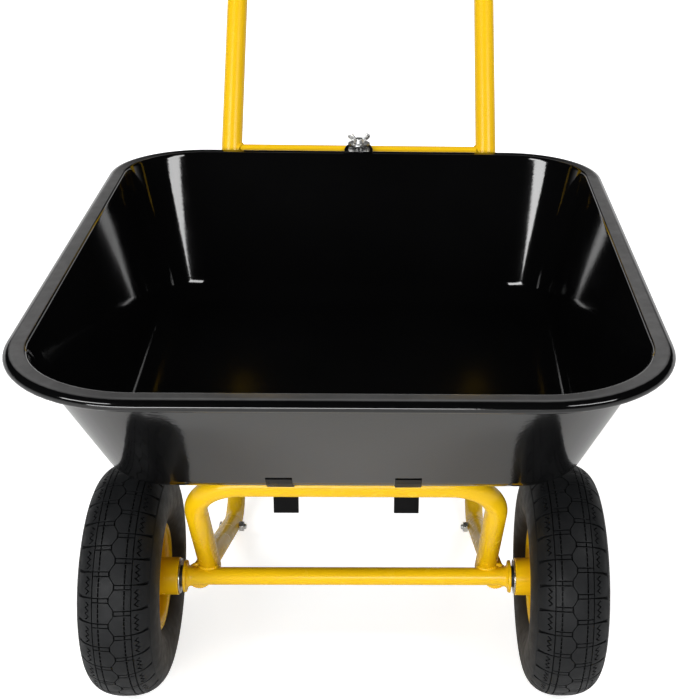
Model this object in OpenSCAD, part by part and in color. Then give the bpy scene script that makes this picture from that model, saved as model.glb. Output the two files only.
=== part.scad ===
// Two-wheel cart: a pressed steel tray on a bent tube frame.
// Millimetres, +Z up, +X to the right seen from the front, handle at +Y.
// The origin is on the ground, in the middle of the cart's length and width.

/* [Wheels] */
// Outside diameter of a tyre
tyre_d = 260; // [240:1:300]
// Section width of a tyre
tyre_w = 85; // [78:1:90]
// Thickness of the tyre's tread and sidewall
tyre_wall = 7; // [5:0.5:9]
// Distance between the middle planes of the two tyres
track_w = 486; // [478:1:520]
// Diameter that the tyre beads sit on
bead_d = 104; // [100:1:108]
// Distance between the two rim flanges
rim_w = 57; // [52:1:60]
// Height of a rim flange above the bead seat
flange_h = 9; // [7:0.5:11]
// Thickness of the pressed rim sheet
rim_gauge = 2.5; // [2:0.1:3]
// Diameter of the wheel hub
hub_d = 42; // [40:0.5:46]
// Length of the hub from the middle plane towards the frame
hub_in = 51; // [48:0.5:54]
// Length of the hub from the middle plane away from the frame
hub_out = 40; // [36:0.5:44]
// Outside diameter of a wheel bearing
bearing_d = 35; // [32:0.5:38]
// Width of a wheel bearing
bearing_w = 11; // [9:0.5:13]
// Diameter of the disc that covers the inner bearing
cap_d = 39; // [37.5:0.5:41]
// Thickness of the disc that covers the inner bearing
cap_t = 1.5; // [1:0.1:2]
// Number of bolts that clamp the two rim halves
rim_bolts = 4; // [3:1:5]
// Diameter of the circle that the rim bolts stand on
rim_bolt_pcd = 68; // [67:0.5:70]
// Thread diameter of the rim bolts
rim_bolt_d = 6; // [5:0.5:7]
// Diameter of a valve stem
valve_d = 8; // [7:0.5:9]
// Length of a valve stem beyond its seat in the rim
valve_l = 24; // [18:1:30]

/* [Axle] */
// Diameter of the axle rod
axle_d = 15.8; // [14:0.1:16.5]
// Outside diameter of the axle tube
axle_tube_d = 20; // [19.5:0.5:23]
// Distance from an end flange of the axle tube to the hub, which the spacer fills
spacer_l = 5; // [4:0.5:9]
// Diameter of an end flange
axle_flange_d = 37; // [34:0.5:42]
// Thickness of an end flange
axle_flange_t = 3; // [2:0.5:4]
// Thickness of the flat washers at the axle's ends
axle_washer_t = 2; // [1.5:0.5:3]
// Height of the axle nuts
axle_nut_h = 13; // [10:0.5:16]

/* [Frame tube] */
// Outside diameter of the hoop, rail and leg tubes
tube_d = 25; // [24:0.5:26]
// Wall of the frame tubes
tube_wall = 1.6; // [1.4:0.1:2]
// Bend radius of the front hoop
hoop_r = 52; // [46:1:58]
// Distance between the hoop's legs where they meet the cross part
hoop_w = 331; // [318:1:336]
// Distance from the hub's inner face to the middle of the hoop's leg at the axle
hoop_inset = 32; // [29:1:38]
// Distance of the foot of the hoop's leg behind the axle, at the height of the axle tube's top
hoop_set = 13; // [10:0.5:15]
// Length of the hoop's leg below the axle tube's top
hoop_dip = 8; // [6:0.5:9]
// Distance of the hoop's cross part in front of the axle
hoop_fwd = 60; // [50:1:66]
// Bend radius of a leg at the ground
foot_r = 63; // [55:1:70]
// Distance of the foot's lowest point behind the axle
foot_back = 317; // [290:1:330]
// Distance from the hub's inner face to the middle of the rail at the axle
rail_inset = 21.5; // [20:0.5:24]
// Distance between the two feet
foot_w = 341; // [336:1:346]
// Length of the rail that stays in front of the foot bend
rail_gap = 6; // [4:1:24]
// Length of the leg tube that plugs into the rail
spigot_l = 40; // [36:1:60]
// Diameter of the bolts through the frame joints
frame_bolt_d = 8; // [6:0.5:8]

/* [Handle] */
// Outside diameter of the handle tube
handle_d = 30; // [28:0.5:32]
// Distance between the handle's two side tubes
handle_w = 378; // [366:1:384]
// Distance that the handle leans back for each millimetre of height
handle_lean = 0.65; // [0.55:0.01:0.75]
// Height of the handle's top tube above the ground
handle_top = 930; // [860:5:980]
// Bend radius of the handle's top corners
handle_r = 65; // [55:1:80]
// Bend radius of the handle at the crossbar
crook_r = 200; // [180:5:260]
// Length of handle tube that sleeves over a leg
sleeve_l = 150; // [130:1:180]
// Length of leg tube inside the handle tube
overlap_l = 110; // [100:1:120]
// Diameter of the crossbar
crossbar_d = 22; // [20:0.5:24]
// Distance from the tray's rear edge to the crossbar's axis
crossbar_gap = 20; // [19:0.5:24]
// Outside diameter of the foam grip
grip_d = 40; // [36:0.5:44]
// Length of the foam grip
grip_l = 236; // [180:1:240]

/* [Tray] */
// Height of the tray's rim above the ground
rim_z = 489; // [485:1:520]
// Depth from the rim to the underside of the floor
tray_depth = 189; // [180:1:200]
// Length over the rim
tray_l = 830; // [810:1:850]
// Distance of the front of the rim ahead of the axle
tray_fwd = 277; // [270:1:285]
// Width over the rim at the front
tray_w_front = 620; // [606:1:650]
// Width over the rim at the rear
tray_w_rear = 685; // [650:1:698]
// Radius of the rim's front corners
tray_r = 139; // [115:1:148]
// Radius of the rim's rear corners
tray_rear_r = 120; // [110:1:140]
// Distance that the front wall slopes back from rim to floor
front_run = 156; // [148:1:170]
// Distance that the rear wall slopes forward from rim to floor
rear_run = 92; // [84:1:100]
// Width of the floor at the front
floor_w_front = 484; // [470:1:500]
// Width of the floor at the rear
floor_w_rear = 534; // [520:1:550]
// Corner radius of the floor
floor_r = 72; // [60:1:85]
// Thickness of the tray sheet
gauge = 1.5; // [1.2:0.1:2]
// Width of the flat rim with its rolled edge
flange_w = 21; // [16:0.5:23]
// Diameter of the rolled edge
bead_roll_d = 8; // [7:0.5:9]
// Run of the curve between floor and walls along the floor
fillet_run = 30; // [24:1:34]
// Rise of the curve between floor and walls up the wall
fillet_rise = 24; // [18:1:28]

/* [Hooks and latch] */
// Width of a hook strap
hook_w = 27; // [24:0.5:32]
// Thickness of a hook strap
hook_t = 3; // [2:0.5:4]
// Distance between the middles of the two hooks
hook_span = 130; // [120:1:140]
// Height that a hook's flange reaches up the front wall
hook_up = 30; // [26:1:34]
// Length of a hook's flange behind the hoop
hook_down = 58; // [50:1:64]
// Height of the crossbar's top above the rim
crossbar_rise = 1; // [0.5:0.5:4]
// Width of the latch tab at the tray
tab_w = 42; // [40:1:50]
// Width of the latch tab at its rear end
tab_end_w = 28; // [26:1:38]
// Thickness of the latch tab
tab_t = 2; // [1.5:0.5:3]
// Diameter of the wing screw that holds the tab down
screw_d = 8; // [6:0.5:9]
// Depth that the wing screw reaches below the tab
screw_reach = 8; // [6:0.5:10]
// Outside diameter of the washer under the wing screw
latch_washer_d = 33; // [26:1:36]
// Thickness of the washer under the wing screw
latch_washer_t = 2; // [1.5:0.5:3]
// Span of the wings
wing_span = 33; // [30:1:42]
// Height of the wings above the washer
wing_h = 14.5; // [13:0.5:20]

/* [Clearances] */
// Radial clearance of a running shaft
run_gap = 0.08; // [0.05:0.01:0.1]
// Gap between pieces that are seated on each other
seat_gap = 0.15; // [0.1:0.05:0.3]
// Gap between pieces that move past each other
move_gap = 0.3; // [0.3:0.1:0.6]
// Radial clearance of a bolt in its hole
bolt_gap = 0.2; // [0.1:0.05:0.4]

/* [Hidden] */
$fn = 48;
yellow = "#f5c21c";
black = "#17181a";
rubber = "#222222";
steel = "#b9bcbf";

axle_z = tyre_d / 2;
wheel_x = track_w / 2;
bead_r = bead_d / 2;
rim_flange_r = bead_r + flange_h;
axle_bore_d = axle_d + 2 * run_gap;
hub_face = wheel_x - hub_in;
hub_end = wheel_x + hub_out;
axle_tube_l = 2 * (hub_face - spacer_l);
spacer_d = axle_d + 8;
washer_x = hub_end + move_gap;
nut_x = washer_x + axle_washer_t + seat_gap;
rod_l = 2 * (nut_x + axle_nut_h + 3);

// Axis of the hoop's cross part, which the tray tips about
floor_z = rim_z - tray_depth;
pivot_y = -hoop_fwd;
pivot_z = floor_z - seat_gap - hook_t - move_gap - tube_d / 2;

// Crossbar, tray edges and handle, all measured from the axle
rim_front = -tray_fwd;
rim_rear = tray_l - tray_fwd;
cross_y = rim_rear + crossbar_gap;
cross_z = rim_z + crossbar_rise - crossbar_d / 2;
handle_x = handle_w / 2;
top_y = cross_y + handle_lean * (handle_top - cross_z);

// Middle of the whole cart's length, measured from the axle
mid_y = (rim_front + top_y + grip_d / 2) / 2;

// Foot bend in the side view: a circle on the ground that both tubes touch
foot_x = foot_w / 2;
rail_x = hub_face - rail_inset;
foot_c = [foot_back, foot_r + tube_d / 2];
rail_from = [0, axle_z];
leg_to = [cross_y, cross_z];
rail_angle = tangent_angle(rail_from, foot_c, foot_r, -1);
leg_angle = tangent_angle(leg_to, foot_c, foot_r, 1) + 180;
foot_corner = line_meet(rail_from, rail_angle, leg_to, leg_angle);
rail_start = [rail_x, rail_from[0], rail_from[1]];
foot_p = [foot_x, foot_corner[0], foot_corner[1]];
crook_p = [handle_x, cross_y, cross_z];
top_p = [handle_x, top_y, handle_top];
rail_u = unit(foot_p - rail_start);
leg_u = unit(crook_p - foot_p);
foot_turn = acos(rail_u * leg_u);
foot_tangent = foot_r * tan(foot_turn / 2);
weld_lift = 0.42 * axle_tube_d;
rail_end = foot_p - (foot_tangent + rail_gap) * rail_u;
leg_top = crook_p - (sleeve_l - overlap_l) * leg_u;
leg_bolt_at = rail_end - spigot_l / 2 * rail_u;
handle_bolt_at = [for (k = [0.25, 0.7]) crook_p - (sleeve_l - k * overlap_l) * leg_u];
bore_d = tube_d - 2 * tube_wall;
handle_bore_d = tube_d + 2 * seat_gap;

// Latch stack above the crossbar
tab_z = rim_z + crossbar_rise + move_gap;
washer_z = tab_z + tab_t + seat_gap;
wing_z = washer_z + latch_washer_t + seat_gap;
// Forward travel of the wing screw's end while the tray lifts it out of the crossbar
slot_run = (screw_reach + move_gap) * (tab_z - pivot_z) / (cross_y - pivot_y);
tube_sides = 24;
bend_step = 10;
hex_ratio = 1.9;
head_ratio = 0.65;
nut_ratio = 0.8;
crown_ratio = 1.3;
dome_ratio = 0.4;

// ---- Vectors and paths ----

function unit(v) = v / norm(v);

// Angle of the line from point p that touches a circle, below (side -1) or above it
function tangent_angle(p, centre, radius, side) =
    atan2(centre[1] - p[1], centre[0] - p[0]) + side * asin(radius / norm(centre - p));

// Where the line through p at angle a meets the line through q at angle b
function line_meet(p, a, q, b) =
    let (t = ((q[0] - p[0]) * sin(b) - (q[1] - p[1]) * cos(b)) / sin(b - a))
    p + t * [cos(a), sin(a)];

// Turn, for rotate(), that brings the X axis to x and the Y axis to y
function turn_to(x, y) =
    let (z = cross(x, y))
    abs(x[2]) > 0.99999
        ? [0, x[2] > 0 ? -90 : 90, atan2(-y[0], y[1])]
        : [atan2(y[2], z[2]), asin(-x[2]), atan2(x[1], x[0])];

// Turn, for rotate(), that brings the Z axis to d
function aim(d) = [acos(d[2] / norm(d)), 0, atan2(d[1], d[0]) + 90];

function reversed(list) = [for (k = [len(list) - 1:-1:0]) list[k]];

function mirrored(path) = [for (p = reversed(path)) [-p[0], p[1], p[2]]];

module from_axle() {
    translate([0, -mid_y, 0]) children();
}

module sided(side) {
    mirror([side < 0 ? 1 : 0, 0, 0]) children();
}

module ring_2d(outer, inner) {
    difference() {
        circle(d = outer);
        if (inner > 0) circle(d = inner);
    }
}

module straight(a, b, outer, inner) {
    translate(a) rotate(aim(b - a)) linear_extrude(norm(b - a)) ring_2d(outer, inner);
}

// Places children on the bend of radius r at corner p: X points away from the
// bend's centre where it starts, and Y points along the tube
module on_bend(a, p, b, r) {
    u = unit(p - a);
    v = unit(b - p);
    n = unit(v - (u * v) * u);
    translate(p - r * tan(acos(u * v) / 2) * u + r * n) rotate(turn_to(-n, u)) children();
}

// Ring of a tube: [middle, direction, outer radius, bore radius]
function tube_ring(at, along, outer, inner) = [at, unit(along), outer / 2, inner / 2];

// Rings of a bend of radius r at corner p, between the directions from a and to b
function bend_rings(a, p, b, r, outer, inner) =
    let (u = unit(p - a), v = unit(b - p), turn = acos(u * v), n = unit(v - (u * v) * u))
    let (start = p - r * tan(turn / 2) * u, steps = ceil(turn / bend_step))
    [for (k = [0:steps]) let (c = cos(turn * k / steps), s = sin(turn * k / steps))
        tube_ring(start + r * s * u + r * (1 - c) * n, c * u + s * n, outer, inner)];

// Rings of a bent tube through the points, with one bend radius for each inner point
function path_rings(points, radii, outer, inner) =
    let (last = len(points) - 1)
    concat(
        [tube_ring(points[0], points[1] - points[0], outer, inner)],
        [for (k = [1:last - 1])
            each bend_rings(points[k - 1], points[k], points[k + 1], radii[k - 1], outer, inner)],
        [tube_ring(points[last], points[last] - points[last - 1], outer, inner)]
    );

// Points of one round of a tube ring. The first point faces the normal.
function ring_points(ring, r, normal) =
    let (t = ring[1], e = unit(normal - (normal * t) * t), f = cross(t, e))
    [for (k = [0:tube_sides - 1]) let (b = 360 * k / tube_sides)
        ring[0] + r * (cos(b) * e + sin(b) * f)];

// Triangles between two rounds of points that start at indices a and b
function band(a, b) = [for (k = [0:tube_sides - 1]) let (next = (k + 1) % tube_sides)
    each [[a + k, b + k, b + next], [a + k, b + next, a + next]]];

// Hollow tube through rings
module tube(rings, normal) {
    n = tube_sides;
    last = len(rings) - 1;
    bore = n * len(rings);
    polyhedron(
        points = concat(
            [for (g = rings) each ring_points(g, g[2], normal)],
            [for (g = rings) each ring_points(g, g[3], normal)]
        ),
        faces = concat(
            [for (k = [0:last - 1]) each band(n * k, n * (k + 1))],
            [for (k = [0:last - 1]) each band(bore + n * (k + 1), bore + n * k)],
            band(bore, 0),
            band(n * last, bore + n * last)
        )
    );
}

// Cylinder along X, centred on a point
module cross_pin(at, d, l) {
    translate(at) rotate([0, 90, 0]) cylinder(d = d, h = l, center = true);
}

// Round-headed bolt along X through a grip: the head is on the +X side
module cross_bolt(at, d, grip) {
    translate(at) rotate([0, 90, 0]) {
        translate([0, 0, -grip / 2 - 1.2 * d]) cylinder(d = d, h = grip + 1.2 * d + seat_gap);
        translate([0, 0, grip / 2 + seat_gap])
            cylinder(d1 = hex_ratio * d, d2 = crown_ratio * d, h = dome_ratio * d);
    }
}

// Hexagon nut along Z, standing on the origin
module hex_nut(d, h) {
    difference() {
        cylinder(d = hex_ratio * d, h = h, $fn = 6);
        translate([0, 0, -1]) cylinder(d = d + 2 * seat_gap, h = h + 2);
    }
}

// Hexagon nut along X, on the -X side of a grip
module cross_nut(at, d, grip) {
    translate(at) rotate([0, -90, 0]) translate([0, 0, grip / 2 + seat_gap])
        hex_nut(d, nut_ratio * d);
}

// ---- Tray ----

ring_steps = 9;
fillet_steps = 5;
roll_steps = 8;
roll_r = bead_roll_d / 2;

// Wall outline at a height above the underside of the floor:
// [front y, rear y, front half width, rear half width, front radius, rear radius]
function tray_plan(level) =
    let (top = [rim_front + flange_w, rim_rear - flange_w,
                tray_w_front / 2 - flange_w, tray_w_rear / 2 - flange_w,
                tray_r - flange_w, tray_rear_r - flange_w])
    let (low = [top[0] + front_run, top[1] - rear_run,
                floor_w_front / 2, floor_w_rear / 2, floor_r, floor_r])
    low + level / tray_depth * (top - low);

// Closed outline at height z: the wall outline at a level, moved outward by grow
function tray_ring(z, grow, level) =
    let (p = tray_plan(level), r = p[4], rear_r = p[5])
    let (a = atan2(p[3] - p[2], p[1] - p[0]))
    let (front_x = p[2] + r * tan(a) - r / cos(a))
    let (rear_x = p[3] - rear_r * tan(a) - rear_r / cos(a))
    let (right = concat(
        [for (k = [0:ring_steps]) let (b = -90 + k / ring_steps * (90 - a))
            [front_x + (r + grow) * cos(b), p[0] + r + (r + grow) * sin(b), floor_z + z]],
        [for (k = [0:ring_steps]) let (b = -a + k / ring_steps * (90 + a))
            [rear_x + (rear_r + grow) * cos(b), p[1] - rear_r + (rear_r + grow) * sin(b), floor_z + z]]))
    concat(right, mirrored(right));

// Curve from the floor to the wall, lifted inward by the sheet: [height, growth, level]
function fillet_rings(lift) = [for (k = [0:fillet_steps]) let (b = 90 * k / fillet_steps)
    let (z = lift + fillet_rise * (1 - cos(b)))
    [z, -lift - fillet_run * (1 - sin(b)), z]];

// Rolled edge, from the flange's underside round to its top
roll_from = 180 - asin((roll_r - gauge) / roll_r);
roll_rings = [for (k = [0:roll_steps]) let (b = roll_from + k / roll_steps * (450 - roll_from))
    [tray_depth - roll_r + roll_r * sin(b), flange_w - roll_r + roll_r * cos(b), tray_depth]];

// Sheet section: under the floor, up the outside, round the rim and down the inside
tray_section = concat(
    fillet_rings(0),
    [[tray_depth - gauge, 0, tray_depth]],
    roll_rings,
    [[tray_depth, -gauge, tray_depth]],
    reversed(fillet_rings(gauge))
);

module tray_shell() {
    rings = [for (s = tray_section) tray_ring(s[0], s[1], s[2])];
    n = len(rings[0]);
    last = len(rings) - 1;
    color(black) from_axle() polyhedron(
        points = [for (r = rings) each r],
        faces = concat(
            [[for (k = [0:n - 1]) k]],
            [for (i = [0:last - 1], k = [0:n - 1])
                [i * n + k, (i + 1) * n + k, (i + 1) * n + (k + 1) % n, i * n + (k + 1) % n]],
            [[for (k = [n - 1:-1:0]) last * n + k]]
        )
    );
}

// Point of the front wall's section in the side view, [y, z]
function front_point(s) = [tray_plan(s[2])[0] - s[1], floor_z + s[0]];

// Strap that lies on the front wall, passes over the hoop and hangs down behind it
module tray_hook(side) {
    near = seat_gap;
    far = seat_gap + hook_t;
    rear = pivot_y + tube_d / 2 + move_gap + hook_t;
    color(black) from_axle() translate([side * hook_span / 2 - hook_w / 2, 0, 0])
        rotate([90, 0, 90]) linear_extrude(hook_w) polygon(concat(
            [[rear, floor_z - near]],
            [for (s = fillet_rings(-near)) front_point(s)],
            [front_point([hook_up, near, hook_up]), front_point([hook_up, far, hook_up])],
            [for (s = reversed(fillet_rings(-far))) front_point(s)],
            [[rear - hook_t, floor_z - far], [rear - hook_t, floor_z - hook_down],
             [rear, floor_z - hook_down]]
        ));
}

// Plate that is welded on the rim and steps up to lie over the crossbar
module latch_tab() {
    low = rim_z + seat_gap;
    front = rim_rear - flange_w + 2;
    step = rim_rear - roll_r;
    ramp = 7;
    rear = cross_y + tab_end_w / 2;
    color(black) from_axle() difference() {
        intersection() {
            rotate([90, 0, 90]) linear_extrude(tab_w, center = true) polygon([
                [front, low], [step, low], [step + ramp, tab_z], [rear, tab_z],
                [rear, tab_z + tab_t], [step + ramp - 1, tab_z + tab_t],
                [step - 1, low + tab_t], [front, low + tab_t]
            ]);
            linear_extrude(2 * rim_z) polygon([
                [-tab_w / 2, front], [tab_w / 2, front], [tab_w / 2, step], [tab_end_w / 2, rear],
                [-tab_end_w / 2, rear], [-tab_w / 2, step]
            ]);
        }
        translate([0, cross_y, rim_z]) cylinder(d = screw_d + 2 * bolt_gap, h = 20);
    }
}

module latch_washer() {
    color(steel) from_axle() translate([0, cross_y, washer_z])
        linear_extrude(latch_washer_t) ring_2d(latch_washer_d, screw_d + 2 * bolt_gap);
}

// Screw with two wings that spread upward
module wing_screw() {
    boss_d = 2 * screw_d;
    boss_h = 0.9 * screw_d;
    tip_r = 4.5;
    tip = [wing_span / 2 - tip_r, wing_h - tip_r];
    color(steel) from_axle() translate([0, cross_y, wing_z]) {
        translate([0, 0, tab_z - screw_reach - wing_z])
            cylinder(d = screw_d, h = wing_z + screw_reach - tab_z + 1);
        cylinder(d = boss_d, h = boss_h);
        for (turn = [0, 180]) rotate([90, 0, turn]) linear_extrude(3, center = true) {
            polygon([[1, 1], [boss_d / 2, 1], tip + tip_r * [cos(-35), sin(-35)],
                     tip + tip_r * [cos(145), sin(145)], [1, boss_h - 1]]);
            translate(tip) circle(r = tip_r);
        }
    }
}

// ---- Frame ----

hoop_corner = [hoop_w / 2, pivot_y, pivot_z];
hoop_base = [hub_face - hoop_inset, hoop_set, axle_z + axle_tube_d / 2];
hoop_foot = hoop_base + hoop_dip * unit(hoop_base - hoop_corner);
hoop_path = concat(mirrored([hoop_corner, hoop_foot]), [hoop_corner, hoop_foot]);

// Inverted U that stands on the axle tube and carries the front of the tray
module front_hoop() {
    color(yellow) from_axle() difference() {
        tube(path_rings(hoop_path, [hoop_r, hoop_r], tube_d, bore_d), [0, pivot_z, -pivot_y]);
        cross_pin([0, 0, axle_z], axle_tube_d + 2 * seat_gap, axle_tube_l);
        for (side = [-1, 1]) sided(side) translate(rail_start) rotate(aim(rail_u))
            cylinder(d = tube_d + 2 * seat_gap, h = norm(rail_end - rail_start));
    }
}

module axle_tube() {
    color(yellow) from_axle() translate([0, 0, axle_z]) rotate([0, 90, 0])
        linear_extrude(axle_tube_l - 2 * (axle_flange_t + seat_gap), center = true)
            ring_2d(axle_tube_d, axle_bore_d);
}

// Ring and short collar at one end of the axle tube
module axle_flange(side) {
    color(yellow) from_axle() sided(side) translate([axle_tube_l / 2, 0, axle_z])
        rotate([0, -90, 0]) linear_extrude(axle_flange_t) ring_2d(axle_flange_d, axle_bore_d);
}

module axle_rod() {
    color(steel) from_axle() cross_pin([0, 0, axle_z], axle_d, rod_l);
}

// Ring on the axle from x outwards, on both sides
module axle_rings(x, outer, inner, thick) {
    for (side = [-1, 1]) sided(side) translate([x, 0, axle_z]) rotate([0, 90, 0])
        linear_extrude(thick) ring_2d(outer, inner);
}

module axle_spacers() {
    face = axle_tube_l / 2 + seat_gap;
    color("dimgray") from_axle()
        axle_rings(face, spacer_d, axle_bore_d, hub_face - move_gap - face);
}

module axle_washers() {
    color(steel) from_axle() axle_rings(washer_x, 2 * axle_d, axle_bore_d, axle_washer_t);
}

module axle_nuts() {
    color(steel) from_axle() for (side = [-1, 1]) sided(side)
        translate([nut_x, 0, axle_z]) rotate([0, 90, 0]) difference() {
            cylinder(d = 1.75 * axle_d, h = axle_nut_h, $fn = 6);
            translate([0, 0, -1]) cylinder(d = axle_bore_d, h = axle_nut_h + 2);
        }
}

// Straight tube from the axle back to the joint in front of the foot
module rail(side) {
    color(yellow) from_axle() sided(side) difference() {
        straight(rail_start + weld_lift * rail_u, rail_end, tube_d, bore_d);
        cross_pin([0, 0, axle_z], axle_tube_d + 2 * seat_gap, axle_tube_l);
        cross_pin(leg_bolt_at, frame_bolt_d + 2 * bolt_gap, 2 * tube_d);
    }
}

// Tube with a reduced end that plugs into the rail. It bends up at the ground and
// ends inside the handle.
module leg(side) {
    spigot_d = bore_d - 2 * seat_gap;
    spigot_bore = spigot_d - 2 * tube_wall;
    from = rail_end + seat_gap * rail_u;
    color(yellow) from_axle() sided(side) difference() {
        tube(concat(
            [tube_ring(from - spigot_l * rail_u, rail_u, spigot_d, spigot_bore),
             tube_ring(from, rail_u, spigot_d, spigot_bore),
             tube_ring(from + tube_wall * rail_u, rail_u, tube_d, spigot_bore)],
            path_rings([from + 2 * tube_wall * rail_u, foot_p, leg_top], [foot_r], tube_d, bore_d)
        ), [1, 0, 0]);
        cross_pin(leg_bolt_at, frame_bolt_d + 2 * bolt_gap, 2 * tube_d);
        for (at = handle_bolt_at) cross_pin(at, frame_bolt_d + 2 * bolt_gap, 2 * tube_d);
    }
}

module leg_bolts() {
    color(steel) from_axle() for (side = [-1, 1]) sided(side)
        cross_bolt(leg_bolt_at, frame_bolt_d, tube_d);
}

module leg_nuts() {
    color(steel) from_axle() for (side = [-1, 1]) sided(side)
        cross_nut(leg_bolt_at, frame_bolt_d, tube_d);
}

handle_side = [crook_p - sleeve_l * leg_u, crook_p, top_p];
handle_rings = path_rings(concat(handle_side, mirrored(handle_side)),
    [crook_r, handle_r, handle_r, crook_r], handle_d, handle_bore_d);

// Loop that sleeves over both legs
module handle_loop() {
    color(yellow) from_axle() difference() {
        tube(handle_rings, [0, -1, handle_lean]);
        for (side = [-1, 1], at = handle_bolt_at) sided(side)
            cross_pin(at, frame_bolt_d + 2 * bolt_gap, 2 * handle_d);
    }
}

module handle_bolts() {
    color(steel) from_axle() for (side = [-1, 1], at = handle_bolt_at) sided(side)
        cross_bolt(at, frame_bolt_d, handle_d);
}

module handle_nuts() {
    color(steel) from_axle() for (side = [-1, 1], at = handle_bolt_at) sided(side)
        cross_nut(at, frame_bolt_d, handle_d);
}

// Bar between the handle's sides, with a slot in its top for the wing screw
module rear_crossbar() {
    slot_w = screw_d + 2 * bolt_gap;
    color(yellow) from_axle() difference() {
        translate([0, cross_y, cross_z]) rotate([0, 90, 0])
            linear_extrude(handle_w, center = true) ring_2d(crossbar_d, crossbar_d - 2 * tube_wall);
        for (side = [-1, 1]) sided(side) on_bend(handle_side[0], crook_p, top_p, crook_r)
            rotate_extrude() translate([crook_r, 0]) circle(d = handle_d + 2 * seat_gap);
        for (run = [0, slot_run]) translate([0, cross_y - run, cross_z])
            cylinder(d = slot_w, h = crossbar_d);
        translate([-slot_w / 2, cross_y - slot_run, cross_z]) cube([slot_w, slot_run, crossbar_d]);
    }
}

module handle_grip() {
    color("#26262a") from_axle() translate([0, top_y, handle_top]) rotate([0, 90, 0])
        linear_extrude(grip_l, center = true) ring_2d(grip_d, handle_d + 2 * seat_gap);
}

// ---- Wheels ----

// Places children on a wheel: the axis is Z, pointing away from the cart
module on_wheel(side) {
    from_axle() sided(side) translate([wheel_x, 0, axle_z]) rotate([0, 90, 0]) children();
}

tyre_depth = axle_z - bead_r;
section_r = (axle_z + bead_r) / 2;
cavity = tyre_wall + move_gap;

// Squarish oval of half height b about the section's middle radius, and half width a
function oval(a, b) = [for (t = [0:7.5:352.5])
    [section_r + b * sign(cos(t)) * pow(abs(cos(t)), 0.82), a * sign(sin(t)) * pow(abs(sin(t)), 0.82)]];

module tyre(side) {
    bead_t = 10;
    color(rubber) on_wheel(side) rotate_extrude() difference() {
        polygon(oval(tyre_w / 2, tyre_depth / 2));
        polygon(oval(tyre_w / 2 - tyre_wall, tyre_depth / 2 - tyre_wall));
        translate([0, -tyre_w]) square([bead_r + seat_gap, 2 * tyre_w]);
        translate([0, bead_t - rim_w / 2]) square([section_r, rim_w - 2 * bead_t]);
        for (s = [0, 1]) mirror([0, s]) translate([0, rim_w / 2 - seat_gap])
            square([rim_flange_r + seat_gap, tyre_w]);
    }
}

module inner_tube(side) {
    tube_t = 2.5;
    color("#33302e") on_wheel(side) difference() {
        rotate_extrude() difference() {
            polygon(oval(tyre_w / 2 - cavity, tyre_depth / 2 - cavity));
            polygon(oval(tyre_w / 2 - cavity - tube_t, tyre_depth / 2 - cavity - tube_t));
        }
        translate([0, 0, valve_z]) rotate([0, -90, 0]) cylinder(d = 3, h = section_r);
    }
}

valve_z = rim_w / 4;
valve_seat_r = bead_r + cavity - seat_gap;

// Stem that leaves the tube through the rim and turns outward
module valve(side) {
    turn_r = bead_r - rim_gauge - valve_d;
    color(rubber) on_wheel(side) {
        translate([-turn_r + valve_d / 2, 0, valve_z]) rotate([0, -90, 0])
            cylinder(d = valve_d, h = valve_seat_r - turn_r + valve_d / 2 - 1);
        translate([-turn_r, 0, valve_z - valve_d / 2]) cylinder(d = valve_d - 1, h = valve_l);
    }
}

// Pressed half of the rim: web, barrel and flange. End 1 is the outer half.
module rim_half(side, end) {
    near = seat_gap / 2;
    color(yellow) on_wheel(side) mirror([0, 0, end > 0 ? 0 : 1]) difference() {
        rotate_extrude() polygon([
            [hub_d / 2 + seat_gap, near], [bead_r, near], [bead_r, rim_w / 2],
            [rim_flange_r, rim_w / 2], [rim_flange_r, rim_w / 2 + rim_gauge],
            [bead_r - rim_gauge, rim_w / 2 + rim_gauge], [bead_r - rim_gauge, near + rim_gauge],
            [hub_d / 2 + seat_gap, near + rim_gauge]
        ]);
        for (k = [0:rim_bolts - 1]) rotate(k * 360 / rim_bolts + 45)
            translate([rim_bolt_pcd / 2, 0, -1]) cylinder(d = rim_bolt_d + 2 * bolt_gap, h = rim_w / 2);
        if (end > 0) translate([0, 0, valve_z]) rotate([0, -90, 0])
            cylinder(d = valve_d + 2 * bolt_gap, h = section_r);
    }
}

module hub(side) {
    pocket = bearing_w + seat_gap;
    color(yellow) on_wheel(side) translate([0, 0, -hub_in]) difference() {
        cylinder(d = hub_d, h = hub_in + hub_out);
        translate([0, 0, -1]) cylinder(d = axle_d + 6, h = hub_in + hub_out + 2);
        for (z = [-1, hub_in + hub_out - pocket])
            translate([0, 0, z]) cylinder(d = bearing_d + 2 * seat_gap, h = pocket + 1);
    }
}

// Sealed bearings at both ends of the hub, with a recessed shield on each face
module bearings(side) {
    color(steel) on_wheel(side) for (z = [-hub_in, hub_out - bearing_w]) translate([0, 0, z])
        difference() {
            linear_extrude(bearing_w) ring_2d(bearing_d, axle_bore_d);
            for (shield = [-1, bearing_w - 0.6]) translate([0, 0, shield])
                linear_extrude(1.6) ring_2d(bearing_d - 6, axle_bore_d + 5);
        }
}

module bearing_cap(side) {
    color(steel) on_wheel(side) translate([0, 0, -hub_in - seat_gap - cap_t])
        linear_extrude(cap_t) ring_2d(cap_d, spacer_d + 2);
}

module on_rim_bolts(side) {
    on_wheel(side) for (k = [0:rim_bolts - 1]) rotate(k * 360 / rim_bolts + 45)
        translate([rim_bolt_pcd / 2, 0, 0]) children();
}

module rim_bolt_set(side) {
    web = seat_gap / 2 + rim_gauge + seat_gap;
    color(steel) on_rim_bolts(side) {
        translate([0, 0, web]) cylinder(d = hex_ratio * rim_bolt_d, h = head_ratio * rim_bolt_d, $fn = 6);
        translate([0, 0, -web - 1.2 * rim_bolt_d]) cylinder(d = rim_bolt_d, h = 2 * web + 1.2 * rim_bolt_d);
    }
}

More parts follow.
